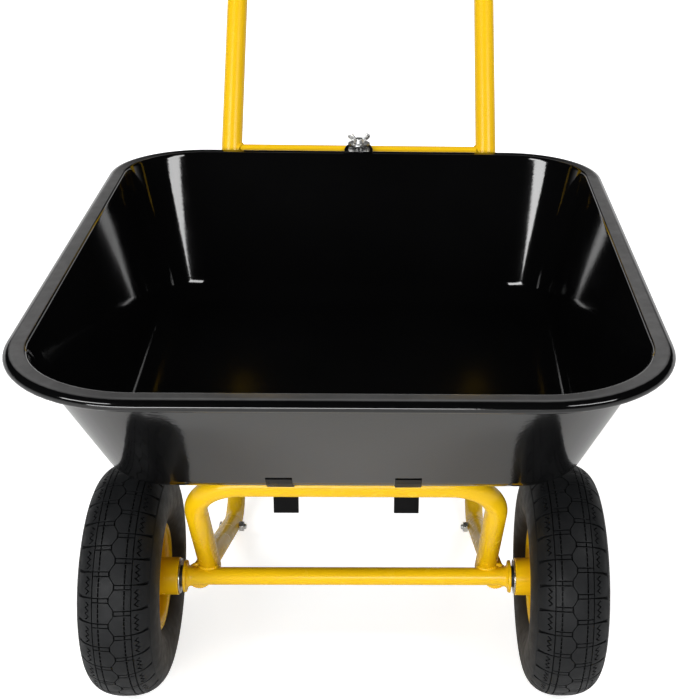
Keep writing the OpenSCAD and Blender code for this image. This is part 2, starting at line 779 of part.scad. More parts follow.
module rim_nut_set(side) {
    web = seat_gap / 2 + rim_gauge + seat_gap;
    color(steel) on_rim_bolts(side) mirror([0, 0, 1]) translate([0, 0, web])
        hex_nut(rim_bolt_d, nut_ratio * rim_bolt_d);
}

tray_shell();
tray_hook(-1);  // left_tray_hook
tray_hook(1);  // right_tray_hook
latch_tab();
latch_washer();
wing_screw();
front_hoop();
axle_tube();
axle_flange(-1);  // left_axle_flange
axle_flange(1);  // right_axle_flange
axle_rod();
axle_washers();
axle_nuts();
axle_spacers();
rail(-1);  // left_rail
rail(1);  // right_rail
leg(-1);  // left_leg
leg(1);  // right_leg
leg_bolts();
leg_nuts();
handle_loop();
handle_bolts();
handle_nuts();
rear_crossbar();
handle_grip();
tyre(-1);  // left_tyre
tyre(1);  // right_tyre
inner_tube(-1);  // left_inner_tube
inner_tube(1);  // right_inner_tube
valve(-1);  // left_valve
valve(1);  // right_valve
rim_half(-1, 1);  // left_outer_rim
rim_half(1, 1);  // right_outer_rim
rim_half(-1, -1);  // left_inner_rim
rim_half(1, -1);  // right_inner_rim
hub(-1);  // left_hub
hub(1);  // right_hub
bearings(-1);  // left_bearings
bearings(1);  // right_bearings
bearing_cap(-1);  // left_bearing_cap
bearing_cap(1);  // right_bearing_cap
rim_bolt_set(-1);  // left_rim_bolts
rim_bolt_set(1);  // right_rim_bolts
rim_nut_set(-1);  // left_rim_nuts
rim_nut_set(1);  // right_rim_nuts
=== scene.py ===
"""Looks of a two-wheeled dump cart: a black tipping tray on a yellow tube frame.

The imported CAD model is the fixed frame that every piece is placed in. Lengths are metres.
"""

from bisect import bisect_right
from math import atan2, copysign, cos, degrees, pi, radians, sin, sqrt, tan

import bmesh
import bpy
from bpy.props import FloatProperty, FloatVectorProperty, IntProperty, PointerProperty
from mathutils import Matrix, Vector


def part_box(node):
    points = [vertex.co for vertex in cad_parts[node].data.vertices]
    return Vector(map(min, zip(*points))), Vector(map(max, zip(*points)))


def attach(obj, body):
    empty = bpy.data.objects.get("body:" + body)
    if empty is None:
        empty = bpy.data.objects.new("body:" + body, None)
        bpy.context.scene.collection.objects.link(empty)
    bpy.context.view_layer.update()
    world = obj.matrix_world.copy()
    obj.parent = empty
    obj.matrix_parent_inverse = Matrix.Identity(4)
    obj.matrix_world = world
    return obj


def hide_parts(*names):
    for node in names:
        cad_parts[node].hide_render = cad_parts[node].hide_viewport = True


bl_info = {
    "name": "Dump cart looks",
    "version": (1, 0, 0),
    "blender": (4, 5, 0),
    "location": "View3D > Sidebar > Cart",
    "description": "Models and paints the visible pieces of a two-wheeled dump cart",
    "category": "Object",
}

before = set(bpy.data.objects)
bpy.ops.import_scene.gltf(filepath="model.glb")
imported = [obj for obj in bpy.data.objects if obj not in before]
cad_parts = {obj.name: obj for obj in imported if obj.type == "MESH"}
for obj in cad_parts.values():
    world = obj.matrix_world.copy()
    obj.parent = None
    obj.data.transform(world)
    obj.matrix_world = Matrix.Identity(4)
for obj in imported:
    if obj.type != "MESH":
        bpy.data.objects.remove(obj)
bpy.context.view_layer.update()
SIDES = (("left", -1), ("right", 1))
X, Y, Z = Vector((1, 0, 0)), Vector((0, 1, 0)), Vector((0, 0, 1))


def middle(node):
    """Centre of a CAD node's box"""
    low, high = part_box(node)
    return (low + high) / 2


def extent(node):
    """Lengths of a CAD node's box"""
    low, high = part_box(node)
    return high - low


AXLE = middle("axle_rod")
TYRE_R = extent("right_tyre").z / 2
WHEEL_X = middle("right_tyre").x


def at(x, y, z):
    """Point given in millimetres: x from the middle, y behind the axle, z above the ground"""
    return Vector((x / 1000, AXLE.y + y / 1000, z / 1000))


# ---- Sizes and colours that a user may change ----


def length(name, description, default):
    return FloatProperty(name=name, description=description, default=default, min=0, unit="LENGTH")


def colour(name, description, default):
    return FloatVectorProperty(
        name=name, description=description, default=default, subtype="COLOR", min=0, max=1
    )


class CartSizes(bpy.types.PropertyGroup):
    """Sizes of the cart's visible pieces"""

    sheet: length("Sheet", "Thickness of the tray's sheet steel", 0.0015)
    rim_bend: length("Rim bend", "Radius between the tray's wall and its flange", 0.003)
    roll_run: length("Roll run", "Half width of the rolled edge round the tray's flange", 0.009)
    roll_rise: length("Roll rise", "Half height of the rolled edge", 0.006)
    tube: length("Frame tube", "Outside diameter of the hoop, rails and legs", 0.025)
    handle: length("Handle tube", "Outside diameter of the handle", 0.03)
    crossbar: length("Crossbar", "Outside diameter of the rear crossbar", 0.022)
    wall: length("Tube wall", "Wall thickness of the tubes", 0.0016)
    weld: length("Weld", "Radius of a weld bead", 0.003)
    tread: length("Tread depth", "Depth of the grooves in the tyres", 0.0026)
    pitches: IntProperty(
        name="Tread pitches", description="Tread blocks round a tyre", default=30, min=12, max=60
    )
    bolt: length("Frame bolt", "Thread diameter of the bolts through the tubes", 0.008)
    edge: length("Edge", "Rounding of cut and pressed steel edges", 0.0005)


class CartColours(bpy.types.PropertyGroup):
    """Colours of the cart's finishes"""

    yellow: colour("Yellow paint", "Enamel on the tubes and rims", (0.86, 0.52, 0.004))
    black: colour("Black paint", "Enamel on the tray", (0.0016, 0.0016, 0.0017))
    # Grey of a painted sheen that stands for the lamps' reflection on the tray's flange
    painted_sheen_grey: colour("Dust", "Dull film on the tray's level flange", (0.14, 0.138, 0.138))
    rubber: colour("Rubber", "Tyres and valves", (0.007, 0.0074, 0.008))
    foam: colour("Foam", "Grip on the handle", (0.016, 0.016, 0.017))
    floor: colour("Floor", "Studio floor", (0.82, 0.82, 0.82))


# ---- Drawing with bmesh ----


class Pen:
    """Chain of edges that is drawn by extruding and spinning its last vertex"""

    def __init__(self, bm, start):
        self.bm = bm
        self.verts = [bm.verts.new(start)]

    def to(self, *points):
        for point in points:
            made = bmesh.ops.extrude_vert_indiv(self.bm, verts=[self.verts[-1]])["verts"][0]
            made.co = point
            self.verts.append(made)
        return self

    def turn(self, centre, axis, angle, steps):
        for _ in range(steps):
            made = bmesh.ops.extrude_vert_indiv(self.bm, verts=[self.verts[-1]])["verts"][0]
            bmesh.ops.rotate(
                self.bm, cent=centre, matrix=Matrix.Rotation(angle / steps, 3, axis), verts=[made]
            )
            self.verts.append(made)
        return self

    def close(self):
        self.bm.edges.new((self.verts[-1], self.verts[0]))
        return self

    def edges(self):
        own = set(self.verts)
        return [e for e in self.bm.edges if e.verts[0] in own and e.verts[1] in own]


def outline_2d(bm, points):
    """Closed loop through flat points"""
    return Pen(bm, (*points[0], 0)).to(*[(*p, 0) for p in points[1:]]).close()


def lathe(bm, profile, matrix, steps=64):
    """Turns a closed or open (radius, height) outline about Z, then places it"""
    old = set(bm.verts)
    pen = Pen(bm, (profile[0][0], 0, profile[0][1])).to(*[(r, 0, h) for r, h in profile[1:]])
    bmesh.ops.spin(
        bm, geom=pen.verts + pen.edges(), cent=(0, 0, 0), axis=(0, 0, 1), angle=2 * pi, steps=steps,
        use_merge=True,
    )
    bmesh.ops.transform(bm, matrix=matrix, verts=[v for v in bm.verts if v not in old])


def arc(centre, radius, start, end, steps):
    """Flat points on an arc, with angles in degrees"""
    angles = [radians(start + (end - start) * k / steps) for k in range(steps + 1)]
    return [(centre[0] + radius * cos(a), centre[1] + radius * sin(a)) for a in angles]


def aimed(point, direction, about=None):
    """Placement that turns Z to a direction, with X along about where it is given"""
    z = Vector(direction).normalized()
    x = Vector(about) if about is not None else (X if abs(z.x) < 0.9 else Y)
    x = (x - x.dot(z) * z).normalized()
    turned = Matrix((x, z.cross(x), z)).transposed().to_4x4()
    return Matrix.Translation(point) @ turned


def circle(bm, sides, radius, matrix):
    """Ring of edges round the Z of a placement"""
    made = bmesh.ops.create_circle(bm, segments=sides, radius=radius, matrix=matrix)
    return list({e for v in made["verts"] for e in v.link_edges})


def skin(bm, rings, closed=False):
    """Faces between each ring of edges and the next"""
    for a, b in zip(rings, rings[1:] + rings[:1] if closed else rings[1:]):
        bmesh.ops.bridge_loops(bm, edges=a + b)


def verts_in(made):
    """Vertices among what a bmesh operator has made"""
    return [g for g in made if isinstance(g, bmesh.types.BMVert)]


def mesh_of(bm, name):
    """Turns a finished drawing into a mesh"""
    mesh = bpy.data.meshes.new(name)
    bm.to_mesh(mesh)
    bm.free()
    return mesh


def add_part(bm, part):
    """Moves a part that was drawn by itself into a drawing"""
    mesh = mesh_of(part, "part")
    bm.from_mesh(mesh)
    bpy.data.meshes.remove(mesh)


def placed(name, data):
    """Object of a mesh, lamp or camera, linked to the scene"""
    obj = bpy.data.objects.new(name, data)
    bpy.context.scene.collection.objects.link(obj)
    return obj


def pushed(bm, ring, move):
    """Extrudes a ring of edges and moves the new ring"""
    out = bmesh.ops.extrude_edge_only(bm, edges=ring)["geom"]
    verts = verts_in(out)
    bmesh.ops.translate(bm, vec=move, verts=verts)
    return [g for g in out if isinstance(g, bmesh.types.BMEdge) and all(v in verts for v in g.verts)]


def ring_verts(ring):
    """Vertices of a ring of edges"""
    return list({v for e in ring for v in e.verts})


def scaled_ring(ring, factor):
    """Scales a ring about its middle"""
    verts = ring_verts(ring)
    centre = sum((v.co for v in verts), Vector()) / len(verts)
    for v in verts:
        v.co = centre + (v.co - centre) * factor


def open_end(bm, ring, direction, radius, wall, depth=0.012):
    """Rounded lip and inner wall at a tube's open end"""
    soft = wall / 4
    ring = pushed(bm, ring, direction * soft)
    scaled_ring(ring, (radius - soft) / radius)
    ring = pushed(bm, ring, Vector())
    scaled_ring(ring, (radius - wall + soft) / (radius - soft))
    ring = pushed(bm, ring, -direction * soft)
    scaled_ring(ring, (radius - wall) / (radius - wall + soft))
    pushed(bm, ring, -direction * depth)


def tube(bm, points, bends, diameter, wall=0.0, sides=40):
    """Round tube along straight runs joined by bends, open at its ends where it has a wall"""
    radius = diameter / 2
    points = [Vector(p) for p in points]
    way = (points[1] - points[0]).normalized()
    ring = first = circle(bm, sides, radius, aimed(points[0], way))
    here, start = points[0], way
    for corner, beyond, bend in zip(points[1:], points[2:], bends):
        onward = (beyond - corner).normalized()
        angle = way.angle(onward)
        reach = bend * tan(angle / 2)
        ring = pushed(bm, ring, corner - reach * way - here)
        here = corner + reach * onward
        out = bmesh.ops.spin(
            bm,
            geom=ring_verts(ring) + ring,
            cent=corner + (onward - way).normalized() * bend / cos(angle / 2),
            axis=way.cross(onward).normalized(),
            angle=angle,
            steps=max(3, round(degrees(angle) / 4)),
        )
        ring = [g for g in out["geom_last"] if isinstance(g, bmesh.types.BMEdge)]
        way = onward
    ring = pushed(bm, ring, points[-1] - here)
    if wall:
        open_end(bm, first, -start, radius, wall)
        open_end(bm, ring, way, radius, wall)


# Angle over which a bead runs to each side of a tube's front, and a tilt that no bead runs along
LANDING_REACH = 2.2
BEAD_TILT = (0.31, 0.2, 0.9)


def bead(bm, points, radius, ripple=0.0011, sides=8, closed=True):
    """Rippled weld bead along a path"""
    points = [Vector(p) for p in points]
    count = len(points)
    rings, run = [], 0.0
    for i, p in enumerate(points):
        before = points[i - 1] if closed or i else p
        after = points[(i + 1) % count] if closed or i < count - 1 else p
        swell = 1 + 0.13 * sin(2 * pi * run / (2 * ripple))
        run += (after - p).length
        rings.append(circle(bm, sides, radius * swell, aimed(p, after - before, BEAD_TILT)))
    skin(bm, rings, closed)
    if not closed:
        for ring in (rings[0], rings[-1]):
            bmesh.ops.contextual_create(bm, geom=ring)


def saddle(base, branch, branch_r, main_axis, main_r, steps=72):
    """Closed path where a branch tube meets the outside of a main tube that passes through base"""
    branch, along = Vector(branch).normalized(), Vector(main_axis).normalized()
    across = branch.cross(along).normalized()
    along = across.cross(branch).normalized()
    path = []
    for k in range(steps):
        a = 2 * pi * k / steps
        side = branch_r * sin(a)
        lift = sqrt(max(main_r**2 - side**2, (0.45 * main_r) ** 2))
        path.append(base + branch_r * cos(a) * along + side * across + lift * branch)
    return path


def landing(base, way, radius, centre, axis, main_r, steps=90):
    """Open path round the front of a tube where it lands on the outside of another tube"""
    front = axis.cross(way).normalized()
    front *= 1 if front.y < 0 else -1
    side = way.cross(front)
    run = way - way.dot(axis) * axis
    path = []
    for k in range(steps + 1):
        a = LANDING_REACH * (2 * k / steps - 1)
        start = base + radius * (cos(a) * front + sin(a) * side)
        off = start - centre
        off -= off.dot(axis) * axis
        near, gap = off.dot(run), off.dot(off) - main_r**2
        root = near**2 - run.dot(run) * gap
        if root > 0:
            path.append(start - way * (near + sqrt(root)) / run.dot(run))
    return path


# ---- Pieces ----


def piece(bm, name, body, slot, nodes=(), sharp=35, bevel=0.0, thick=0.0, coat=None):
    """Makes a finished object from a bmesh, rides it on its body and hides the CAD nodes it stands for"""
    bmesh.ops.remove_doubles(bm, verts=bm.verts, dist=1e-6)
    bmesh.ops.recalc_face_normals(bm, faces=bm.faces)
    mesh = mesh_of(bm, name)
    mesh.materials.append(coat or finish(slot))
    mesh.shade_smooth()
    mesh.set_sharp_from_angle(angle=radians(sharp))
    obj = placed(name, mesh)
    if thick:
        wall = obj.modifiers.new("Wall", "SOLIDIFY")
        wall.thickness, wall.offset, wall.use_even_offset = thick, -1, True
    if bevel:
        soft = obj.modifiers.new("Soft edges", "BEVEL")
        soft.width, soft.segments, soft.limit_method = bevel, 3, "ANGLE"
        soft.angle_limit, soft.harden_normals = radians(32), False
    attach(obj, body)
    if nodes:
        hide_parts(*nodes)
    return obj


def dressed(node, name, body, slot, bevel, coat=None):
    """Copy of a CAD node with merged faces and soft edges, which stands for it"""
    bm = bmesh.new()
    bm.from_mesh(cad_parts[node].data)
    bmesh.ops.remove_doubles(bm, verts=bm.verts, dist=2e-6)
    bmesh.ops.dissolve_limit(bm, angle_limit=radians(0.5), verts=bm.verts, edges=bm.edges)
    return piece(bm, name, body, slot, [node], bevel=bevel, coat=coat)


def hexagon(bm, matrix, across, height, hole=0.0):
    """Chamfered hexagon head or nut that stands on its placement"""
    corner = across / sqrt(3)
    rise = 0.16 * (corner - across / 2) + 0.0004
    rings = []
    for h, scale in ((0, 0.93), (rise, 1), (height - rise, 1), (height, 0.93)):
        rings.append(circle(bm, 6, corner * scale, matrix @ Matrix.Translation((0, 0, h))))
    skin(bm, rings)
    for ring, h in ((rings[0], 0), (rings[-1], height)):
        if hole:
            loop = circle(bm, 24, hole, matrix @ Matrix.Translation((0, 0, h)))
            bmesh.ops.bridge_loops(bm, edges=ring + loop)
        else:
            bmesh.ops.contextual_create(bm, geom=ring)


def threaded(bm, matrix, radius, run, pitch, steps=24):
    """Threaded shank with a chamfered end, which stands on its placement"""
    profile = [(0, 0), (radius * 0.86, 0)]
    turns = int(run / pitch) - 1
    for k in range(turns):
        profile += [(radius, (k + 0.5) * pitch), (radius * 0.88, (k + 1) * pitch)]
    profile += [(radius * 0.88, run - 0.12 * radius), (radius * 0.7, run), (0, run)]
    lathe(bm, profile, matrix, steps)


# ---- Finishes ----


class Nodes:
    """Short ways to add nodes to a tree"""

    def __init__(self, tree):
        self.tree = tree

    def add(self, kind, inputs=None, **settings):
        node = self.tree.nodes.new("ShaderNode" + kind)
        for name, value in settings.items():
            setattr(node, name, value)
        for socket, value in (inputs or {}).items():
            if isinstance(value, bpy.types.NodeSocket):
                self.tree.links.new(value, node.inputs[socket])
            else:
                node.inputs[socket].default_value = value
        return node

    def span(self, value, low, high, start=0.3, end=0.7, form="LINEAR"):
        """Value from low to high while the given one goes from start to end"""
        put = {"Value": value, "From Min": start, "From Max": end, "To Min": low, "To Max": high}
        return self.add("MapRange", put, interpolation_type=form).outputs["Result"]

    def math(self, operation, *values):
        return self.add("Math", dict(enumerate(values)), operation=operation).outputs[0]

    def blend(self, fac, a, b):
        """Number between two numbers or sockets"""
        return self.add("Mix", {0: fac, 2: a, 3: b}, data_type="FLOAT").outputs[0]

    def parts(self, vector):
        return self.add("SeparateXYZ", {0: vector}).outputs

    def size(self, vector):
        return self.add("VectorMath", {0: vector}, operation="LENGTH").outputs["Value"]


class Finish(Nodes):
    """Node tree of one paint, rubber or metal"""

    def __init__(self, name, **shared):
        self.material = bpy.data.materials.new(name)
        self.material.use_nodes = True
        super().__init__(self.material.node_tree)
        self.shader = self.tree.nodes["Principled BSDF"]
        for socket, value in shared.items():
            self.shader.inputs[socket.replace("_", " ")].default_value = value
        self.place = self.add("TexCoord").outputs["Object"]

    def noise(self, scale, detail=2.0, rough=0.5):
        put = {"Vector": self.place, "Scale": scale, "Detail": detail, "Roughness": rough}
        return self.add("TexNoise", put).outputs["Fac"]

    def mix(self, fac, a, b):
        """Colour between two colours or sockets"""
        sockets = {0: fac}
        for key, value in ((6, a), (7, b)):
            sockets[key] = value if isinstance(value, bpy.types.NodeSocket) else (*value, 1)
        return self.add("Mix", sockets, data_type="RGBA").outputs[2]

    def bump(self, height, distance, below=None):
        put = {"Height": height, "Distance": distance, "Strength": 1.0}
        if below is not None:
            put["Normal"] = below
        return self.add("Bump", put).outputs["Normal"]

    def use(self, colour=None, roughness=None, normal=None):
        for socket, value in (("Base Color", colour), ("Roughness", roughness), ("Normal", normal)):
            if value is not None:
                self.tree.links.new(value, self.shader.inputs[socket])
        return self.material


def shade(rgb, factor):
    """Colour made darker or lighter"""
    return tuple(min(1, c * factor) for c in rgb)


def yellow_enamel(colours):
    f = Finish("cart_yellow_paint", IOR=1.5, Specular_IOR_Level=0.3)
    base = tuple(colours.yellow)
    broad = f.span(f.noise(9, 2), 0, 1)
    fine = f.span(f.noise(240, 3, 0.6), 0, 1, 0.55, 0.8)
    tone = f.mix(broad, base, (base[0] * 0.98, base[1] * 0.965, base[2]))
    tone = f.mix(fine, tone, (base[0] * 0.97, base[1] * 0.95, base[2]))
    rough = f.span(f.noise(70, 2), 0.24, 0.28)
    return f.use(tone, rough, f.bump(f.noise(420, 2, 0.4), 0.000006))


def black_enamel(colours):
    f = Finish("cart_black_paint", IOR=1.5)
    base = tuple(colours.black)
    broad = f.span(f.noise(5, 4), 0, 1)
    specks = f.span(f.noise(900, 2, 0.7), 0, 1, 0.74, 0.8)
    tone = f.mix(broad, base, shade(base, 1.5))
    tone = f.mix(specks, tone, shade(base, 6))
    split = f.parts(f.place)
    base_z, top = (corner.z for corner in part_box("tray_shell"))
    # The flange's level top towards the front, and the floor's front part
    level = f.span(split["Z"], 0, 1, top - 0.0006, top - 0.0001)
    level = f.math("MULTIPLY", level, f.span(split["Y"], 1, 0, 0.1, 0.23))
    aside = f.span(f.math("ABSOLUTE", split["X"]), 0.5, 1, 0.2, 0.3)
    # Painted sheen: grey painted on the flange's level top towards the front, more towards the sides,
    # where the lamps' reflection falls
    painted_sheen = f.math("MULTIPLY", f.math("MULTIPLY", level, aside), f.span(f.noise(60, 5, 0.65), 0.75, 1))
    tone = f.mix(painted_sheen, tone, colours.painted_sheen_grey)
    scuffed = f.span(split["Z"], 1, 0, base_z + 0.004, base_z + 0.012)
    scuffed = f.math("MULTIPLY", scuffed, f.span(split["Y"], 1, 0.3, -0.2, 0.0))
    rough = f.span(f.noise(14, 5, 0.6), 0.05, 0.09)
    for dull, more in ((level, 0.16), (scuffed, 0.15)):
        rough = f.math("MULTIPLY_ADD", dull, more, rough)
    f.tree.links.new(f.span(scuffed, 0.5, 0.02, 0, 1), f.shader.inputs["Specular IOR Level"])
    peel = f.bump(f.noise(260, 2, 0.4), 0.00003)
    return f.use(tone, rough, f.bump(f.noise(9, 2, 0.4), 0.0003, peel))


def tyre_rubber(colours):
    f = Finish("cart_tyre_rubber", IOR=1.5, Specular_IOR_Level=0.16)
    base = tuple(colours.rubber)
    centred = f.add(
        "Mapping", {"Vector": f.place, "Location": (0, -AXLE.y, -AXLE.z), "Scale": (0, 1, 1)}
    )
    radius = f.size(centred.outputs[0])
    worn = f.mix(f.span(f.noise(35, 4), 0, 1), base, shade(base, 1.45))
    dusty = f.mix(f.span(f.noise(240, 3, 0.6), 0, 0.2, 0.5, 0.8), worn, (0.03, 0.029, 0.028))
    brown = f.mix(f.span(radius, 1, 0, 0.085, 0.112), dusty, (0.02, 0.015, 0.01))
    rough = f.span(f.noise(90, 4), 0.42, 0.6)
    grain = f.bump(f.noise(1400, 3, 0.7), 0.00005)
    return f.use(brown, rough, f.bump(f.noise(160, 2), 0.00015, grain))


def dull_black(colours):
    f = Finish("cart_dull_black", IOR=1.45, Specular_IOR_Level=0.1)
    base = tuple(colours.black)
    tone = f.mix(f.span(f.noise(40, 3), 0, 1), base, shade(base, 2))
    return f.use(tone, f.span(f.noise(30, 3), 0.25, 0.4), f.bump(f.noise(500, 2), 0.00003))


# Painted shade: the tread's groove floors are painted darker than the rubber, for the shade down in the
# grooves
def tyre_painted_groove_shade(colours):
    f = Finish("cart_tyre_painted_groove_shade", IOR=1.45, Specular_IOR_Level=0.15)
    base = shade(tuple(colours.rubber), 0.3)
    tone = f.mix(f.span(f.noise(60, 3), 0, 1), base, shade(base, 1.8))
    return f.use(tone, f.span(f.noise(120, 3), 0.7, 0.9), f.bump(f.noise(700, 2), 0.00005))


def tube_rubber(colours):
    f = Finish("cart_tube_rubber", IOR=1.5)
    base = shade(tuple(colours.rubber), 1.5)
    tone = f.mix(f.span(f.noise(60, 3), 0, 1), base, shade(base, 1.6))
    return f.use(tone, f.span(f.noise(120, 3), 0.45, 0.6), f.bump(f.noise(700, 2), 0.00004))


def zinc(colours):
    f = Finish("cart_zinc_steel", Metallic=1.0)
    patches = f.span(f.noise(220, 3, 0.6), 0, 1, 0.35, 0.65)
    tone = f.mix(patches, (0.6, 0.61, 0.63), (0.72, 0.71, 0.67))
    rough = f.span(f.noise(500, 4, 0.6), 0.2, 0.38)
    return f.use(tone, rough, f.bump(f.noise(1500, 2), 0.00001))


def black_plastic(colours):
    f = Finish("cart_black_plastic", IOR=1.46)
    tone = f.mix(f.span(f.noise(80, 3), 0, 1), (0.012, 0.012, 0.013), (0.022, 0.022, 0.022))
    return f.use(tone, f.span(f.noise(200, 2), 0.4, 0.55), f.bump(f.noise(900, 2), 0.00003))


def grip_foam(colours):
    f = Finish("cart_foam", IOR=1.4, Specular_IOR_Level=0.3)
    base = tuple(colours.foam)
    cells = f.add("TexVoronoi", {"Vector": f.place, "Scale": 1100.0}).outputs["Distance"]
    tone = f.mix(f.span(cells, 0, 1, 0.1, 0.7), shade(base, 0.5), shade(base, 1.5))
    tone = f.mix(f.span(f.noise(45, 3), 0, 0.6), tone, shade(base, 1.9))
    rough = f.span(f.noise(120, 2), 0.82, 0.95)
    return f.use(tone, rough, f.bump(cells, 0.00018, f.bump(f.noise(260, 2), 0.0002)))


FINISHES = {
    "yellow_paint": yellow_enamel,
    "black_paint": black_enamel,
    "tyre_rubber": tyre_rubber,
    "dull_black": dull_black,
    "tyre_painted_groove_shade": tyre_painted_groove_shade,
    "tube_rubber": tube_rubber,
    "zinc_steel": zinc,
    "black_plastic": black_plastic,
    "foam": grip_foam,
}


def finish(name):
    """Material of a slot, made when it is first asked for"""
    made = bpy.data.materials.get("cart_" + name)
    return made or FINISHES[name](bpy.context.scene.cart_colours)


# ---- Tray ----

TRAY = {
    "front": -0.256, "rear": 0.532, "front_w": 0.289, "rear_w": 0.3215,
    "front_corner": 0.118, "rear_corner": 0.099, "front_run": 0.156, "rear_run": 0.092,
    "floor_front": 0.242, "floor_rear": 0.267, "floor_corner": 0.072,
    "fillet_run": 0.03, "fillet_rise": 0.024, "flange": 0.021,
}
CORNER_STEPS = 16
HOLD = 0.002
# Step in height that keeps neighbouring outlines apart where the sheet is level
LEVEL = 0.00002


def tray_plan(level, depth):
    """Front, rear, half widths and corner radii of the wall's outline at a height"""
    t = TRAY
    top = (t["front"], t["rear"], t["front_w"], t["rear_w"], t["front_corner"], t["rear_corner"])
    low = (
        t["front"] + t["front_run"], t["rear"] - t["rear_run"], t["floor_front"], t["floor_rear"],
        t["floor_corner"], t["floor_corner"],
    )
    return [a + level / depth * (b - a) for a, b in zip(low, top)]


def tray_ring(bm, z, grow, level, depth, base):
    """Closed outline round the tray: the wall's outline at a level, moved outward by grow"""
    front, rear, front_w, rear_w, *radii = tray_plan(level, depth)
    lean = atan2(rear_w - front_w, rear - front)
    near, far = radii
    centres = (
        Vector((front_w + near * tan(lean) - near / cos(lean), AXLE.y + front + near, base + z)),
        Vector((rear_w - far * tan(lean) - far / cos(lean), AXLE.y + rear - far, base + z)),
    )
    starts, ends = (-pi / 2, -lean), (-lean, pi / 2)
    pen = None
    for side, order in ((1, (0, 1)), (-1, (1, 0))):
        for k in order:
            centre = Vector((side * centres[k].x, centres[k].y, centres[k].z))
            a, b = (starts[k], ends[k]) if side > 0 else (pi - ends[k], pi - starts[k])
            out = radii[k] + grow
            first = centre + out * Vector((cos(a), sin(a), 0)) - HOLD * Vector((-sin(a), cos(a), 0))
            enter = centre + out * Vector((cos(a), sin(a), 0))
            leave = centre + out * Vector((cos(b), sin(b), 0)) + HOLD * Vector((-sin(b), cos(b), 0))
            pen = pen.to(first) if pen else Pen(bm, first)
            pen.to(enter).turn(centre, "Z", b - a, CORNER_STEPS).to(leave)
    pen.close()
    return pen.verts


class CART_OT_tray(bpy.types.Operator):
    """Models the pressed steel tray with its rolled rim"""

    bl_idname = "cart.tray"
    bl_label = "Tray"

    def execute(self, context):
        sizes = context.scene.cart_sizes
        low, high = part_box("tray_shell")
        base, depth = low.z, high.z - low.z
        run, roll, bend = sizes.roll_run, sizes.roll_rise, sizes.rim_bend
        over = TRAY["flange"] - run
        # Height, move outward and the height whose outline is moved: floor, fillet, wall, rim, roll
        section = [(-2 * LEVEL, -TRAY["fillet_run"] - 2 * HOLD, 0)]
        for b in [radians(90 * k / 10) for k in range(11)]:
            z = TRAY["fillet_rise"] * (1 - cos(b))
            section.append((z, -TRAY["fillet_run"] * (1 - sin(b)), z))
        section += [(z, 0, z) for z in (TRAY["fillet_rise"] + HOLD, depth - (bend + HOLD))]
        for b in [radians(90 * k / 6) for k in range(7)]:
            z = depth - bend * (1 - sin(b))
            section.append((z, bend * (1 - cos(b)), z))
        section.append((depth + LEVEL, over - 0.0005, depth))
        for b in [radians(90 - 250 * k / 14) for k in range(15)]:
            section.append((depth + 2 * LEVEL - roll + roll * sin(b), over + run * cos(b), depth))
        bm = bmesh.new()
        rings = []
        for z, grow, level in section:
            verts = tray_ring(bm, z, grow, level, depth, base)
            own = set(verts)
            ring = [e for v in verts for e in v.link_edges if e.other_vert(v) in own]
            rings.append(list(dict.fromkeys(ring)))
        skin(bm, rings)
        bmesh.ops.contextual_create(bm, geom=rings[0])
        floor = max(bm.faces, key=lambda face: face.calc_area())
        bmesh.ops.inset_region(bm, faces=[floor], thickness=HOLD)
        bmesh.ops.recalc_face_normals(bm, faces=bm.faces)
        piece(bm, "tray_sheet", "tray", "black_paint", ["tray_shell"], thick=sizes.sheet, sharp=50)
        for name, _ in SIDES:
            node = name + "_tray_hook"
            dressed(node, node + "_strap", "tray", "black_paint", sizes.edge, finish("dull_black"))
        dressed("latch_tab", "latch_plate", "tray", "black_paint", sizes.edge)
        return {"FINISHED"}


# ---- Tubes ----

RAIL_START = at(170.5, 0, 130)
FOOT = at(170.5, 349.423, -4.484)
CROOK = at(189, 573, 479)
TOP = at(189, 866.15, 930)
FOOT_BEND, CROOK_BEND, HANDLE_BEND, HOOP_BEND = 0.063, 0.2, 0.065, 0.052
RAIL_END = at(170.5, 288.769, 18.86)
LEG_BOLT = at(170.5, 270.104, 26.044)
LEG_TOP_SHORT, SLEEVE = 0.04, 0.15
HOOP_BASE, HOOP_CORNER = at(160, 13, 140), at(165.5, -60, 284.05)
HOOP_DIP, WELD_LIFT = 0.008, 0.0084
# Gap that keeps pieces on a joint's two sides apart
JOINT_GAP = 0.00015
RAIL_WAY, LEG_WAY = (FOOT - RAIL_START).normalized(), (CROOK - FOOT).normalized()


def flipped(point, side):
    """Point of the right half, put on the given side"""
    return Vector((side * point.x, point.y, point.z))


